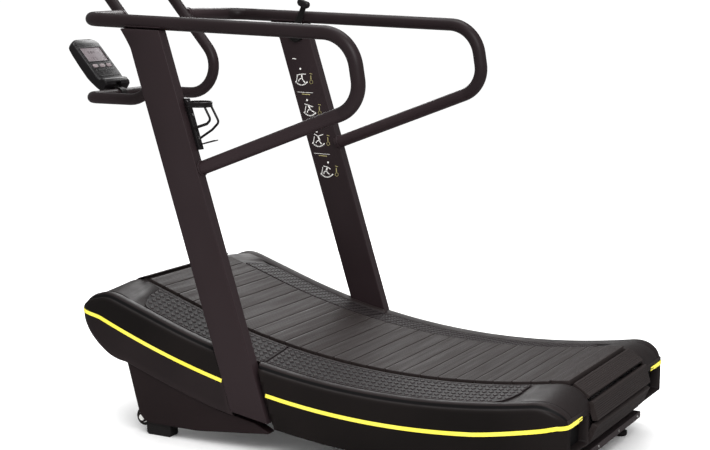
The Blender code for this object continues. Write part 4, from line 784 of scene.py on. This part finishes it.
def build_pad(side, name, part, gap, tip, reach):
    low, high = sorted((upright_rear(0.28) - gap, tip))
    rings = []
    for x in spread(low, high, 90):
        outer = pad_edge(x, tip, reach)
        ys = [PAD_INNER, PAD_INNER + 0.0006, PAD_INNER + PAD_RIM, PAD_INNER + PAD_RIM + 0.0015]
        ys += spread(PAD_INNER + PAD_RIM + 0.004, outer - PAD_RIM - 0.0015, 6)
        ys = [min(y, outer) for y in ys + [outer - PAD_RIM, outer - 0.0006, outer]]
        lifts = [*PAD_RIM_UP, *[0.0] * 7, *reversed(PAD_RIM_UP)]
        rings.append([(x, side * y, pad_z(x, y) + w) for y, w in zip(ys, lifts)])
    shape = Shape().loft(rings)
    columns = int((high - low) / STUD_PITCH)
    for i in range(columns):
        x = low + (i + 0.5) * (high - low) / columns
        for y in (PAD_INNER + 0.014 + j * STUD_PITCH for j in range(6)):
            if y <= pad_edge(x, tip, reach) - 0.013:
                shape.loft([[(x + dx, side * (y + dy), pad_z(x + dx, y + dy) + w)
                             for dx, dy in ((half, 0), (0, half), (-half, 0), (0, -half))]
                            for half, w in ((STUD_BASE, -0.0002), (STUD_TOP, STUD_HEIGHT))])
    shape.piece(f"{part}_step_pad_{name}", "pad", f"{part}_pad_{name}", sharp=25)


def build_hood():
    """Curved guard round the front pulley with a rolled upper edge."""
    inner = FRONT_RADIUS + SLAT_DEPTH + 0.008
    low, high = PACKED["front_hood"]
    roll = arc_points(FRONT_AXIS, inner + 0.0015, 85, 85, 2)[0]
    outline = arc_points(FRONT_AXIS, inner + 0.003, -58, 84, 40) + arc_points(roll, 0.0024, 80, 260, 8)
    outline += arc_points(FRONT_AXIS, inner, 84, -58, 40)
    Shape().prism(outline, low.y, high.y).piece("front_pulley_guard", "cover_top", "front_hood", sharp=40)


# ---------------------------------------------------------------- uprights, rails and handle


def rail_z(x):
    return 1.294 + 0.0315 * x


def handle_x(z):
    return 0.6293 + (z - 1.2) * 0.8546


def upright_rear(z):
    return UPRIGHT_REAR_FOOT + UPRIGHT_LEAN * z


def upright_front(z):
    return upright_rear(z) + UPRIGHT_DEPTH


def build_upright(side, name):
    head = UPRIGHT_HEAD
    flare = [(upright_front(z) + UPRIGHT_FLARE * max(0.0, (z - head + FLARE_HEIGHT) / FLARE_HEIGHT) ** 1.3, z)
             for z in spread(head - FLARE_HEIGHT, head, 9)]
    outline = [(upright_rear(0.102), 0.102), (upright_front(0.124), 0.124)] + flare
    outline += [(upright_front(head) + UPRIGHT_FLARE - 0.002, head + 0.003), (upright_rear(head), head - 0.0015)]
    Shape().prism(outline, *sorted(side * y for y in UPRIGHT_Y)).piece(
        f"upright_post_{name}", "paint", f"upright_{name}", sharp=30, bevel=0.0042)


def build_handrail(side, name):
    y = side * RAIL_Y
    corners = [(handle_x(rail_z(RAIL_FRONT_X)), side * HANDLE_Y, rail_z(RAIL_FRONT_X))]
    corners += [(x, y, rail_z(x)) for x in (RAIL_TURN_X, RAIL_REAR_TOP_X)]
    corners += [(RAIL_REAR_LOW[0], y, RAIL_REAR_LOW[1]), (upright_rear(RAIL_FOOT_Z) + 0.012, y, RAIL_FOOT_Z)]
    path = round_path(corners, RAIL_BENDS)
    path[0] = path[0] + (path[1] - path[0]).normalized() * 0.008
    foot_z = RAIL_FOOT_Z + 0.004
    Shape().tube(path, RAIL_RADIUS, 40).weld(
        (upright_rear(foot_z) - 0.001, y, foot_z), (1, 0, -UPRIGHT_LEAN), RAIL_RADIUS + 0.0004).piece(
        f"handrail_tube_{name}", "paint", f"handrail_{name}", sharp=50)
    shape = Shape()
    for offset in (0.0165, -0.0165):
        shape.tube([(x, side * (RAIL_Y + offset), rail_z(x) - 0.0135)
                    for x in spread(upright_rear(1.28) + 0.004, upright_front(1.28) + 0.012, 40)], 0.0026, 10)
    shape.piece(f"rail_weld_{name}", "paint")


def build_push_handle():
    bar_x, bar_z = HANDLE_BAR
    top_x = handle_x(HANDLE_TOP_Z)
    half = [(top_x, HANDLE_Y, HANDLE_TOP_Z), (handle_x(bar_z), HANDLE_Y, bar_z), (bar_x, HANDLE_Y, bar_z)]
    corners = [(top_x, 0.0, HANDLE_TOP_Z)] + half + [(x, -y, z) for x, y, z in reversed(half)]
    corners.append(corners[0])
    shape = Shape().tube(round_path(corners, HANDLE_BENDS + HANDLE_BENDS[::-1]), HANDLE_RADIUS, 40)
    for side in (1, -1):
        rail = Vector((handle_x(rail_z(RAIL_FRONT_X)), side * HANDLE_Y, rail_z(RAIL_FRONT_X)))
        out = Vector((RAIL_TURN_X - rail.x, side * (RAIL_Y - HANDLE_Y), 0)).normalized()
        shape.weld(rail + out * (HANDLE_RADIUS + 0.001), out, RAIL_RADIUS * 0.96, bead=0.0028)
    shape.piece("push_handle_tube", "paint", "push_handle", sharp=50)
    rings, grip_half, ribs = [], 0.11, 60
    for k, y in enumerate(spread(-grip_half, grip_half, ribs)):
        radius = HANDLE_RADIUS + (0.0005 if k in (0, ribs - 1) else 0.003 + 0.0006 * (k % 2))
        rings.append([(top_x + radius * c, y, HANDLE_TOP_Z + radius * s) for c, s in circle(32)])
    Shape().loft(rings).piece("top_grip_sleeve", "rubber", sharp=60)


# ---------------------------------------------------------------- stand, feet and wheels


STAND_Y, EAR_Y = (0.41, 0.448), (0.4066, 0.4104)
EAR_HOLE, EAR_RADIUS = (0.514, 0.04), 0.0165


def build_stand(side, name):
    outline = [(x, cover_low(x) + 0.014) for x in spread(0.545, 0.205, 14)]
    outline += [(x, cover_low(x) - 0.002) for x in (0.199, 0.06)] + [(0.012, 0.072), (0.012, 0.066)]
    outline += [(0.274, STAND_FLOOR), (0.44, STAND_FLOOR)] + arc_points((0.448, 0.092), 0.053, -85, -10, 14)
    Shape().prism(outline, *sorted(side * y for y in STAND_Y)).piece(
        f"stand_plate_{name}", "stand", f"stand_{name}", sharp=30, bevel=0.003)
    ear = [(0.452, 0.056), (0.472, 0.082)] + arc_points(EAR_HOLE, EAR_RADIUS, 70, -110, 16) + [(0.48, 0.043)]
    Shape().prism(ear, *(side * y for y in EAR_Y)).piece(f"wheel_ear_{name}", "stand", bevel=0.0008)
    cap = [(0.0, 0.0), (0.01, 0.0), (0.01, 0.0022), (0.0085, 0.0036), (0.003, 0.0042), (0.0, 0.0042)]
    Shape().lathe(cap, (EAR_HOLE[0], side * EAR_Y[1], EAR_HOLE[1]), (0, side, 0), 40).piece(
        f"wheel_cap_{name}", "nylon")


def build_front_foot(name):
    low, high = PACKED[f"front_foot_{name}"]
    top = STAND_FLOOR - 0.0012
    shape = Shape().prism([(low.x + 0.004, 0.0), (high.x - 0.008, 0.0), (high.x - 0.002, 0.006),
                           (high.x - 0.001, top), (low.x, top), (low.x, 0.005)], low.y, high.y)
    x0, x1, proud = low.x - 0.0006, high.x - 0.0004, 0.0006
    for z in (0.007 + 0.007 * k for k in range(4)):
        shape.prism([(x0, z), (x1, z), (x1, z + 0.003), (x0, z + 0.003)], low.y - proud, high.y + proud)
    shape.piece(f"front_foot_block_{name}", "rubber", f"front_foot_{name}", bevel=0.001)


def build_wheel(name):
    node = f"transport_wheel_{name}"
    low, high = PACKED[node]
    joint, body = joint_spot(f"{node}_spin"), f"wheel_{name}"
    half, radius = (high.y - low.y) / 2, (high.z - low.z) / 2
    tread = [(radius - 0.006 + 0.006 * math.sin(a), -(half - 0.004) * math.cos(a))
             for a in map(math.radians, range(10, 171, 16))]
    tyre = [(0.019, -half + 0.003), (0.0245, -half + 0.002)] + tread
    tyre += [(0.0245, half - 0.002), (0.019, half - 0.003), (0.019, -half + 0.003)]
    Shape().lathe(tyre, joint, segments=56).piece(f"wheel_tyre_{name}", "rubber", node, body, sharp=45)
    hub = [(0.0055, -half), (0.011, -half), (0.0112, -half + 0.0016), (0.016, -half + 0.003),
           (0.0188, -half + 0.0024)]
    hub += [(r, -h) for r, h in reversed(hub)] + hub[:1]
    Shape().lathe(hub, joint).piece(f"wheel_hub_{name}", "nylon", body=body)
    shape = Shape()
    for c, s in circle(6):
        spoke, across = Vector((c, 0, s)), Vector((-s, 0, c))
        for face in (-1, 1):
            centre = joint + spoke * 0.0148 + Vector((0, face * (half - 0.0024), 0))
            shape.loft([[centre + spoke * out * sx + across * 0.0009 * sz + Vector((0, w, 0))
                         for sx, sz in ((-1, -1), (1, -1), (1, 1), (-1, 1))]
                        for out, w in ((0.0028, 0.0), (0.002, face * 0.0012))])
    shape.piece(f"wheel_ribs_{name}", "nylon", body=body)


def build_rear_panel():
    low, high = (corner.copy() for corner in PACKED["rear_panel"])
    low.x, low.z, wall = low.x + 0.026, low.z + 0.016, 0.003
    outline = [(high.x, low.z), (low.x, low.z), (low.x, high.z), (high.x, high.z), (high.x, high.z - wall),
               (low.x + wall, high.z - wall), (low.x + wall, low.z + wall), (high.x, low.z + wall)]
    Shape().prism(outline, low.y, high.y).piece("rear_cross_panel", "panel", "rear_panel", bevel=0.0012)
    shape = Shape()
    for y in (-0.27, -0.09, 0.09, 0.27):
        shape.lathe([(0.0, -0.0016), (0.0042, -0.0014), (0.0048, 0.0), (0.0, 0.0)],
                    (low.x, y, (low.z + high.z) / 2), (1, 0, 0), 20)
    shape.piece("rear_panel_screws", "zinc")


# ---------------------------------------------------------------- lever


def lever_rings(centre, along, stations, segments, power):
    """Squarish rings across the lever; stations are (distance along it, half width, half depth)."""
    across = Vector((-along.z, 0, along.x))
    return [[centre + along * t + across * width * c + Vector((0, depth * s, 0))
             for c, s in circle(segments, power)] for t, width, depth in stations]


def build_lever():
    hub = joint_spot("resistance_lever_swing")
    face = PACKED["lever_housing"][0].y
    dial = [(0.0, 0.0), (0.0298, 0.0), (0.03, 0.002), (0.03, 0.0085), (0.0285, 0.011), (0.024, 0.012),
            (0.0, 0.012)]
    Shape().lathe(dial, (hub.x, face, hub.z), segments=56).piece(
        "lever_dial_housing", "satin_black", "lever_housing")
    low, high = PACKED["lever_knob"]
    knob = (low + high) / 2 - Vector((0.006, 0, 0.012))
    depth = (high.y - low.y) / 2
    low, high = PACKED["resistance_lever"]
    reach = Vector((knob.x - hub.x, 0, knob.z - hub.z))
    along, length = reach.normalized(), reach.length
    stations = []
    for t in spread(-0.016, length - 0.01, 26):
        width = 0.015 - 0.005 * smooth_step(t / length)
        stations.append((t, width * math.sqrt(max(0.12, 1 - max(0.0, -t / 0.0165) ** 2)), 0.0039))
    middle = Vector((hub.x, (low.y + high.y) / 2, hub.z))
    Shape().loft(lever_rings(middle, along, stations, 16, 0.6)).piece(
        "resistance_lever_arm", "satin_black", "resistance_lever", "lever", sharp=50)
    stations = [(t, 0.025 * grow, depth * grow) for t, grow in (
        (-0.0125, 0.45), (-0.0115, 0.66), (-0.008, 0.84), (-0.003, 0.98), (0.004, 1.0), (0.01, 0.9),
        (0.0138, 0.66), (0.0146, 0.3))]
    Shape().loft(lever_rings(knob, along, stations, 28, 0.75)).piece(
        "lever_tee_knob", "black", "lever_knob", "lever", sharp=60)
    nut = [(0.0, -0.0002), (0.006, -0.0002), (0.0058, 0.0022), (0.003, 0.003), (0.0, 0.003)]
    Shape().lathe(nut, (hub.x, high.y, hub.z), segments=6).piece(
        "lever_pivot_nut", "zinc", body="lever", bevel=0.0003)


# ---------------------------------------------------------------- console

TILT_AXIS = joint_spot("console_tilt")
PRESS = Vector(JOINTS["console_button_1_press"]["axis"]).normalized()
HEAD_SCALE = 1.05
FACE = 0.012                # face plane in front of the tilt axis
SCREEN = (0.095, 0.155, 0.054)
KEY_U, KEY_V = 0.0765, (0.036, 0.0, -0.036)
# (u, w) down the middle of the head, behind and in front
CONSOLE_BACK = ((-0.015, -0.004), (-0.012, -0.011), (-0.004, -0.0165), (0.009, -0.02), (0.055, -0.025),
                (0.1, -0.024), (0.15, -0.0205), (0.175, -0.0165), (0.188, -0.011), (0.195, -0.003))
CONSOLE_FRONT = ((-0.015, 0.008), (-0.011, 0.0225), (-0.003, 0.0275), (0.01, 0.027), (0.0175, 0.0215),
                 (0.0205, 0.0125), (0.024, 0.0118), (0.175, 0.012), (0.186, 0.0115), (0.192, 0.0085),
                 (0.195, 0.001))


def console_matrix():
    """Origin on the tilt axis, u up the screen, v across, w towards the runner."""
    across = Vector((0, 1, 0))
    length = across.cross(-PRESS).normalized()
    if length.z < 0:
        length.negate()
    turned = Matrix((length, across, -PRESS)).transposed().to_4x4()
    return Matrix.Translation(TILT_AXIS) @ turned @ Matrix.Diagonal((HEAD_SCALE, HEAD_SCALE, 1.0, 1.0))


CONSOLE = console_matrix()


def on_head(u, v, w):
    return CONSOLE @ Vector((u, v, w))


def head_rings(stations, shift=0.0):
    """Rounded rectangles across the head; stations are (u, half width, bottom, top, corner)."""
    rings = []
    for u, half, bottom, top, corner in stations:
        corner = min(corner, half * 0.98, (top - bottom) / 2 * 0.98)
        ring = []
        for k, (sv, sw) in enumerate(((1, 1), (-1, 1), (-1, -1), (1, -1))):
            centre = (sv * (half - corner), top - corner if sw > 0 else bottom + corner)
            ring += arc_points(centre, corner, 90 * k, 90 * k + 90, 5)
        rings.append([on_head(u, shift + v, w) for v, w in ring])
    return rings


def along_profile(points, u):
    for (u0, w0), (u1, w1) in zip(points, points[1:]):
        if u <= u1:
            return w0 + (w1 - w0) * max(0.0, u - u0) / (u1 - u0)
    return points[-1][1]


def console_half(u):
    """Half width: crowned top, straight sides and a slightly drawn-in foot."""
    top = 0.071 * (1 - 0.5 * (max(0.0, u - 0.165) / 0.03) ** 2.6)
    return top - 0.006 * smooth_step((0.045 - u) / 0.05)


def carve(obj, rings):
    """Cut a lofted shape out of a piece."""
    cutter = Shape().loft(rings).object("tool")
    obj.modifiers.new("Cut", "BOOLEAN").object = cutter
    graph = bpy.context.evaluated_depsgraph_get()
    mesh = bpy.data.meshes.new_from_object(obj.evaluated_get(graph))
    obj.modifiers.clear()
    obj.data = mesh
    bpy.data.objects.remove(cutter)


def build_console():
    us = sorted({u for u, _ in CONSOLE_BACK + CONSOLE_FRONT} | set(spread(-0.0145, 0.1945, 40)))
    stations = [(u, console_half(u), along_profile(CONSOLE_BACK, u), along_profile(CONSOLE_FRONT, u), 0.0075)
                for u in us]
    housing = Shape().loft(head_rings(stations)).piece(
        "console_housing", "black", "console_body", "console", sharp=50)
    low, high, half = SCREEN
    slot = PACKED["console_bracket"][1].y + 0.0006
    gap, clear = 0.001, 0.03
    carve(housing, head_rings([(u, half + gap, FACE - 0.0035, clear, 0.001) for u in (low - gap, high + gap)]))
    carve(housing, head_rings([(u, slot, -0.05, top, 0.0005) for u, top in (
        (-0.03, 0.05), (-0.0041, 0.05), (-0.004, 0.0165), (0.011, 0.0165))]))
    well_u, well_v = 0.0078, 0.0128
    for v in KEY_V:
        carve(housing, head_rings([(u, well_v, FACE - 0.006, clear, 0.002)
                                   for u in (KEY_U - well_u, KEY_U + well_u)], v))
    shade(housing.data, 40)
    Shape().loft(head_rings([(u, half, FACE - 0.0032, FACE - 0.001, 0.0006) for u in (low, high)])).piece(
        "console_lcd", "lcd", "console_screen", "console")
    build_screen_bezel()
    build_lcd_marks()
    for number, v in enumerate(KEY_V, start=1):
        rings = [[on_head(KEY_U + a * (0.007 - inset), v + b * (0.012 - inset), FACE + w)
                  for a, b in circle(28, 0.45, 0.5)]
                 for w, inset in ((-0.003, 0.0), (0.0006, 0.0), (0.0014, 0.0005), (0.0016, 0.0016))]
        Shape().loft(rings).piece(f"console_key_{number}", "grey", f"console_button_{number}", f"button_{number}",
                                  sharp=40)
    build_console_clamp()


def build_screen_bezel():
    """Raised rim round the window and two moulded lines under the keys."""
    low, high, half = SCREEN
    corners = [(low, -half), (high, -half), (high, half), (low, half)]
    shape = Shape()
    for (u0, v0), (u1, v1) in zip(corners, corners[1:] + corners[:1]):
        shape.tube([on_head(u0 + (u1 - u0) * t, v0 + (v1 - v0) * t, FACE) for t in spread(0, 1, 12)], 0.0013, 10)
    for u in (0.058, 0.034):
        shape.tube([on_head(u, v, FACE - 0.0002) for v in spread(-0.05, 0.05, 12)], 0.001, 8)
    shape.piece("console_bezel", "black", body="console", sharp=60)


SEGMENTS = {0: "abcdef", 1: "bc", 2: "abged", 4: "fgbc", 5: "afgcd", 8: "abcdefg"}


def add_digit(shape, digit, u, v, height=0.01):
    """Seven-segment digit on the LCD; u is its lower edge and v its left edge seen by the runner."""
    wide, bar = height * 0.5, height * 0.1
    # how far up and across each segment lies, in digit heights and widths
    spots = {"a": (1, 0.5), "g": (0.5, 0.5), "d": (0, 0.5), "f": (0.75, 0), "b": (0.75, 1), "e": (0.25, 0),
             "c": (0.25, 1)}
    for letter in SEGMENTS[digit]:
        up, across = spots[letter]
        half_u, half_v = (bar / 2, wide * 0.42) if across == 0.5 else (height * 0.21, bar / 2)
        shape.loft([[on_head(u + height * up + a * half_u, v - wide * across + b * half_v, FACE + w)
                     for a, b in ((-1, -1), (1, -1), (1, 1), (-1, 1))] for w in (-0.0012, -0.0008)])


def build_lcd_marks():
    shape = Shape()
    for row, digits in enumerate(((1, 2, 5), (0, 8, 4))):
        for k, digit in enumerate(digits):
            add_digit(shape, digit, 0.1035 + 0.026 * row, 0.03 - k * 0.0125 - row * 0.008)
    shape.piece("lcd_digits", "channel", body="console", slot="screen")


def build_console_clamp():
    """Split clamp round the cross bar with the hinge post and its screw."""
    x, z = HANDLE_BAR
    low, high = PACKED["console_bracket"]
    half, radius, bore = high.y, z - low.z, HANDLE_RADIUS + 0.0002
    ring = [(bore, -half), (radius - 0.001, -half), (radius, 0.001 - half), (radius, half - 0.001),
            (radius - 0.001, half), (bore, half), (bore, -half)]
    centre, pivot = Vector(HANDLE_BAR), TILT_AXIS.xz
    along = (pivot - centre).normalized()
    across = Vector((-along.y, along.x))
    turn = math.degrees(math.atan2(along.y, along.x))
    foot = centre + along * (radius - 0.003)
    post = [foot + across * 0.01, foot - across * 0.01] + arc_points(pivot, 0.008, turn - 90, turn + 90, 14)
    Shape().lathe(ring, (x, 0, z), segments=56).prism(post, -half, half).piece(
        "console_clamp", "satin_black", "console_bracket")
    screw = [(0.0, 0.0), (0.0035, 0.0), (0.0035, 0.002), (0.0016, 0.0021), (0.0012, 0.0012), (0.0, 0.0012)]
    Shape().lathe(screw, (x - radius * 0.69, 0.0, z - radius * 0.72), (-0.69, 0, -0.72), 20).piece(
        "clamp_screw", "zinc")


# ---------------------------------------------------------------- bottle cage and printed symbols


def build_bottle_cage():
    """Moulded cage on the left upright's rear face: ribbed plate, ring band, two bowed arms and a shelf."""
    low, high = PACKED["bottle_cage"]
    y_mid, radius = (low.y + high.y) / 2, (high.y - low.y) / 2
    proud, plate_half = 0.0115, 0.0115

    def back(z):
        return upright_rear(z) - 0.0004

    strip = [(back(z) - proud, z) for z in spread(low.z, high.z, 12)]
    strip += [(back(z), z) for z in spread(high.z, low.z, 12)]
    Shape().prism(strip, y_mid - plate_half, y_mid + plate_half).piece(
        "bottle_cage_plate", "black", "bottle_cage", sharp=30, bevel=0.002)
    shape = Shape()
    for offset in (-0.0062, 0.0, 0.0062):
        shape.tube([(back(z) - proud, y_mid + offset, z) for z in spread(low.z + 0.012, high.z - 0.014, 30)],
                   0.0014, 10)
    ring_z = high.z - 0.016
    centre = Vector((back(ring_z) - proud - radius + 0.004, y_mid, ring_z))
    band = [(-0.0045, -0.008), (-0.001, -0.0085), (0.001, -0.0065), (0.0, -0.002), (0.0, 0.003), (0.0015, 0.0065),
            (-0.001, 0.0085), (-0.0045, 0.008), (-0.0045, -0.008)]
    shape.lathe([(radius + out, h) for out, h in band], centre, (0, 0, 1), 64)
    # each arm: top and bend from the ring's centre, low bend, root (both with y from the cage's middle)
    for top, bend, (bend_x, bend_y, bend_z), (root_y, root_z) in (
            ((-0.03, 0.018, -0.004), (-0.052, 0.0165, -0.044), (0.23, 0.0115, 1.006), (0.0085, 0.99)),
            ((-0.03, -0.018, -0.004), (-0.06, -0.017, -0.054), (0.229, -0.015, 0.986), (-0.0085, 0.958))):
        points = [centre + Vector(top), centre + Vector(bend), (bend_x, y_mid + bend_y, bend_z),
                  (back(root_z) - proud + 0.003, y_mid + root_y, root_z)]
        shape.tube(round_path(points, (0.012, 0.008)), 0.0036, 16, 1.35)
    shelf = low.z + 0.013
    root, tip = back(shelf) - proud + 0.004, back(shelf) - 0.068
    slab = [(root, shelf), (tip, shelf + 0.016), (tip - 0.002, shelf + 0.0195), (tip + 0.003, shelf + 0.02),
            (root, shelf + 0.004)]
    shape.prism(slab, y_mid - 0.009, y_mid + 0.009).piece("bottle_cage_arms", "black", sharp=40)
    shape = Shape()
    screw = [(0.0, 0.0), (0.0045, 0.0), (0.0045, 0.0022), (0.002, 0.0024), (0.0016, 0.0014), (0.0, 0.0014)]
    for z in (low.z + 0.035, high.z - 0.05):
        shape.lathe(screw, (back(z) - proud, y_mid, z), (-1, 0, UPRIGHT_LEAN), 20)
    shape.piece("bottle_cage_screws", "zinc")


PRINT_Y, INK_THICKNESS = -UPRIGHT_Y[0] + 0.0001, 0.00025
PICTOGRAM_WIDTH, PICTOGRAM_HEIGHT = 0.0012, 0.00115       # of one unit in the figures below
# head, neck, hip, two feet and two hands of each pictogram figure
POSTURES = (
    ((4, 50), (0, 34), (-2, 22), (10, 12), (-12, 8), (16, 30), (-14, 34)),
    ((10, 48), (6, 33), (0, 21), (9, 10), (-14, 12), (18, 36), (-10, 28)),
    ((6, 46), (2, 32), (-4, 20), (8, 11), (-10, 9), (14, 38), (-16, 38)),
    ((-4, 46), (-2, 32), (2, 20), (10, 10), (-8, 10), (12, 34), (-12, 26)),
)


def add_stroke(shape, points, width):
    """Printed line on the right upright's inner face."""
    points = [Vector(p) for p in points]
    for a, b in zip(points, points[1:]):
        along = (b - a).normalized()
        across = Vector((-along.y, along.x)) * width / 2
        along = along * width * 0.3
        corners = [a - across - along, b - across + along, b + across + along, a + across - along]
        shape.prism(corners, PRINT_Y, PRINT_Y + INK_THICKNESS)


def build_symbols():
    """Generic exercise pictograms, dividers and arrows printed on the right upright."""
    white, yellow = Shape(), Shape()
    for number, (head, neck, hip, foot_a, foot_b, hand_a, hand_b) in enumerate(POSTURES):
        z = 1.066 - number * 0.108
        x = upright_rear(z) + 0.086

        def at(px, pz):
            return (x + px * PICTOGRAM_WIDTH, z + pz * PICTOGRAM_HEIGHT)

        def dot(centre, radius):
            return [(centre[0] + radius * c, centre[1] + radius * s) for c, s in circle(18)]

        white.prism(dot(at(*head), 0.0036), PRINT_Y, PRINT_Y + INK_THICKNESS)
        add_stroke(white, [at(*neck), at(*hip)], 0.0052)
        for foot, bow in ((foot_a, 4), (foot_b, 2)):
            knee = at((hip[0] + foot[0]) / 2 + bow, (hip[1] + foot[1]) / 2)
            add_stroke(white, [at(*hip), knee, at(*foot)], 0.0034)
        for hand in (hand_a, hand_b):
            add_stroke(white, [at(*neck), at(*hand)], 0.0024)
        add_stroke(white, [at(20 * t, 10 * t ** 2) for t in spread(-1, 1, 9)], 0.0042)
        add_stroke(white, [at(18, 6), at(14, 30)], 0.0022)
        ring_x, ring_z = x - 0.04, z + 0.012
        ring = dot((ring_x, ring_z), 0.0062)
        add_stroke(yellow, ring + ring[:1], 0.0016)
        add_stroke(yellow, [(ring_x + 0.001, ring_z + 0.009), (ring_x + 0.002, ring_z + 0.022)], 0.0026)
        add_stroke(yellow, [(ring_x - 0.004, ring_z + 0.028), (ring_x + 0.006, ring_z + 0.03)], 0.0016)
        if number in (1, 3):
            line = z + 0.082
            middle = upright_rear(line) + 0.08
            add_stroke(white, [(middle - 0.032, line), (middle + 0.032, line + 0.001)], 0.0012)
            add_stroke(yellow, [(middle - 0.02, line - 0.007), (middle + 0.012, line - 0.006)], 0.0022)
    add_stroke(white, [(upright_rear(1.15) + 0.082, 1.158), (upright_rear(1.15) + 0.096, 1.159)], 0.0026)
    white.piece("printed_symbols", "ink")
    yellow.piece("printed_arrows", "ink_yellow")


# ---------------------------------------------------------------- carried-over parts

# material, bevel, CAD nodes
CARRIED = (
    ("paint", 0.0, "base_frame"),
    ("rubber", 0.0, "rear_foot_left rear_foot_right"),
    ("zinc", 0.0, "wheel_bolt_left wheel_bolt_right brake_pivot_pin console_hinge_pin"),
    ("steel", 0.0006, "front_pulley_shaft rear_pulley_shaft "
                      "support_roller_1 support_roller_2 support_roller_3 support_roller_4"),
    ("cast", 0.0008, "front_bearing_left front_bearing_right rear_bearing_left rear_bearing_right"),
    ("cast", 0.001, "brake_yoke"),
    ("aluminium", 0.0004, "brake_disc"),
    ("satin_black", 0.0, "brake_cable"))


def dress_carried_parts():
    for key, bevel, names in CARRIED:
        for obj in (frame["nodes"][name] for name in names.split()):
            obj.data.materials.clear()
            obj.data.materials.append(MAT[key])
            shade(obj.data, 35)
            if bevel:
                add_bevel(obj, bevel, 2)


# ---------------------------------------------------------------- stage


def aim(obj, location, direction):
    obj.location = location
    obj.rotation_mode = "QUATERNION"
    obj.rotation_quaternion = Vector(direction).to_track_quat("-Z", "Y")


def build_stage():
    size = 14.0
    mesh = bpy.data.meshes.new("floor")
    mesh.from_pydata([(x * size, y * size, -0.0004) for x, y in ((-1, -1), (1, -1), (1, 1), (-1, 1))],
                     [], [(0, 1, 2, 3)])
    g = Graph("floor_paper")
    tone = g.mix(g.noise(0.6, 2.0), srgb(251, 251, 251), srgb(254, 254, 254))
    # reflections see the floor painted grey: painted shade in reflections of the floor
    tone = g.mix(g.node("ShaderNodeLightPath").outputs["Is Glossy Ray"], tone, srgb(120, 118, 118))
    mesh.materials.append(g.finish(tone, 0.9, Specular_IOR_Level=0.0))
    placed("floor", mesh)


def build_studio():
    """White surroundings that reflections see dimmed, and three soft lamps."""
    world = bpy.data.worlds.new("studio")
    bpy.context.scene.world = world
    world.use_nodes = True
    nodes, links = world.node_tree.nodes, world.node_tree.links
    background = nodes["Background"]
    background.inputs["Color"].default_value = (1.0, 1.0, 1.0, 1.0)
    rays, dimmer = nodes.new("ShaderNodeLightPath"), nodes.new("ShaderNodeMapRange")
    dimmer.inputs["To Min"].default_value = 1.06
    dimmer.inputs["To Max"].default_value = 0.28
    links.new(rays.outputs["Is Glossy Ray"], dimmer.inputs["Value"])
    links.new(dimmer.outputs["Result"], background.inputs["Strength"])
    for name, location, target_z, width, height, power in (
            ("key_light", (-2.6, 3.0, 3.6), 0.4, 2.2, 2.2, 120),
            ("top_light", (0.2, -0.4, 4.2), 0.3, 3.0, 2.0, 90),
            ("rim_light", (1.8, -3.2, 2.6), 0.6, 1.6, 2.4, 70)):
        data = bpy.data.lights.new(name, "AREA")
        data.shape = "RECTANGLE"
        data.size, data.size_y, data.energy = width, height, power
        aim(placed(name, data), location, Vector((0, 0, target_z)) - Vector(location))


def build_camera():
    """The photograph's viewpoint."""
    data = bpy.data.cameras.new("camera")
    data.lens, data.sensor_width = 77.54, 36.0
    data.shift_x, data.shift_y = 0.0183, 0.0059
    data.clip_end = 60
    camera = placed("camera", data)
    aim(camera, Vector((-2.3675, 4.2822, 1.4442)) + TO_FRAME, (0.47765, -0.86339, -0.16248))
    bpy.context.scene.camera = camera
    bpy.context.scene.view_settings.view_transform = "Standard"


# ---------------------------------------------------------------- assembly

build_belt()
for sign, sided in ((1, "left"), (-1, "right")):
    cover_shells = build_cover_pair(sign, sided)
    build_trim(sign, sided, cover_shells, build_cover_end(sign, sided))
    build_pad(sign, sided, "front", 0.009, 0.54, 0.06)
    build_pad(sign, sided, "rear", 0.017, -0.768, 0.085)
    build_upright(sign, sided)
    build_handrail(sign, sided)
    build_stand(sign, sided)
    build_front_foot(sided)
    build_wheel(sided)
build_hood()
build_push_handle()
build_rear_panel()
build_lever()
build_console()
build_bottle_cage()
build_symbols()
dress_carried_parts()
build_stage()
build_studio()
build_camera()
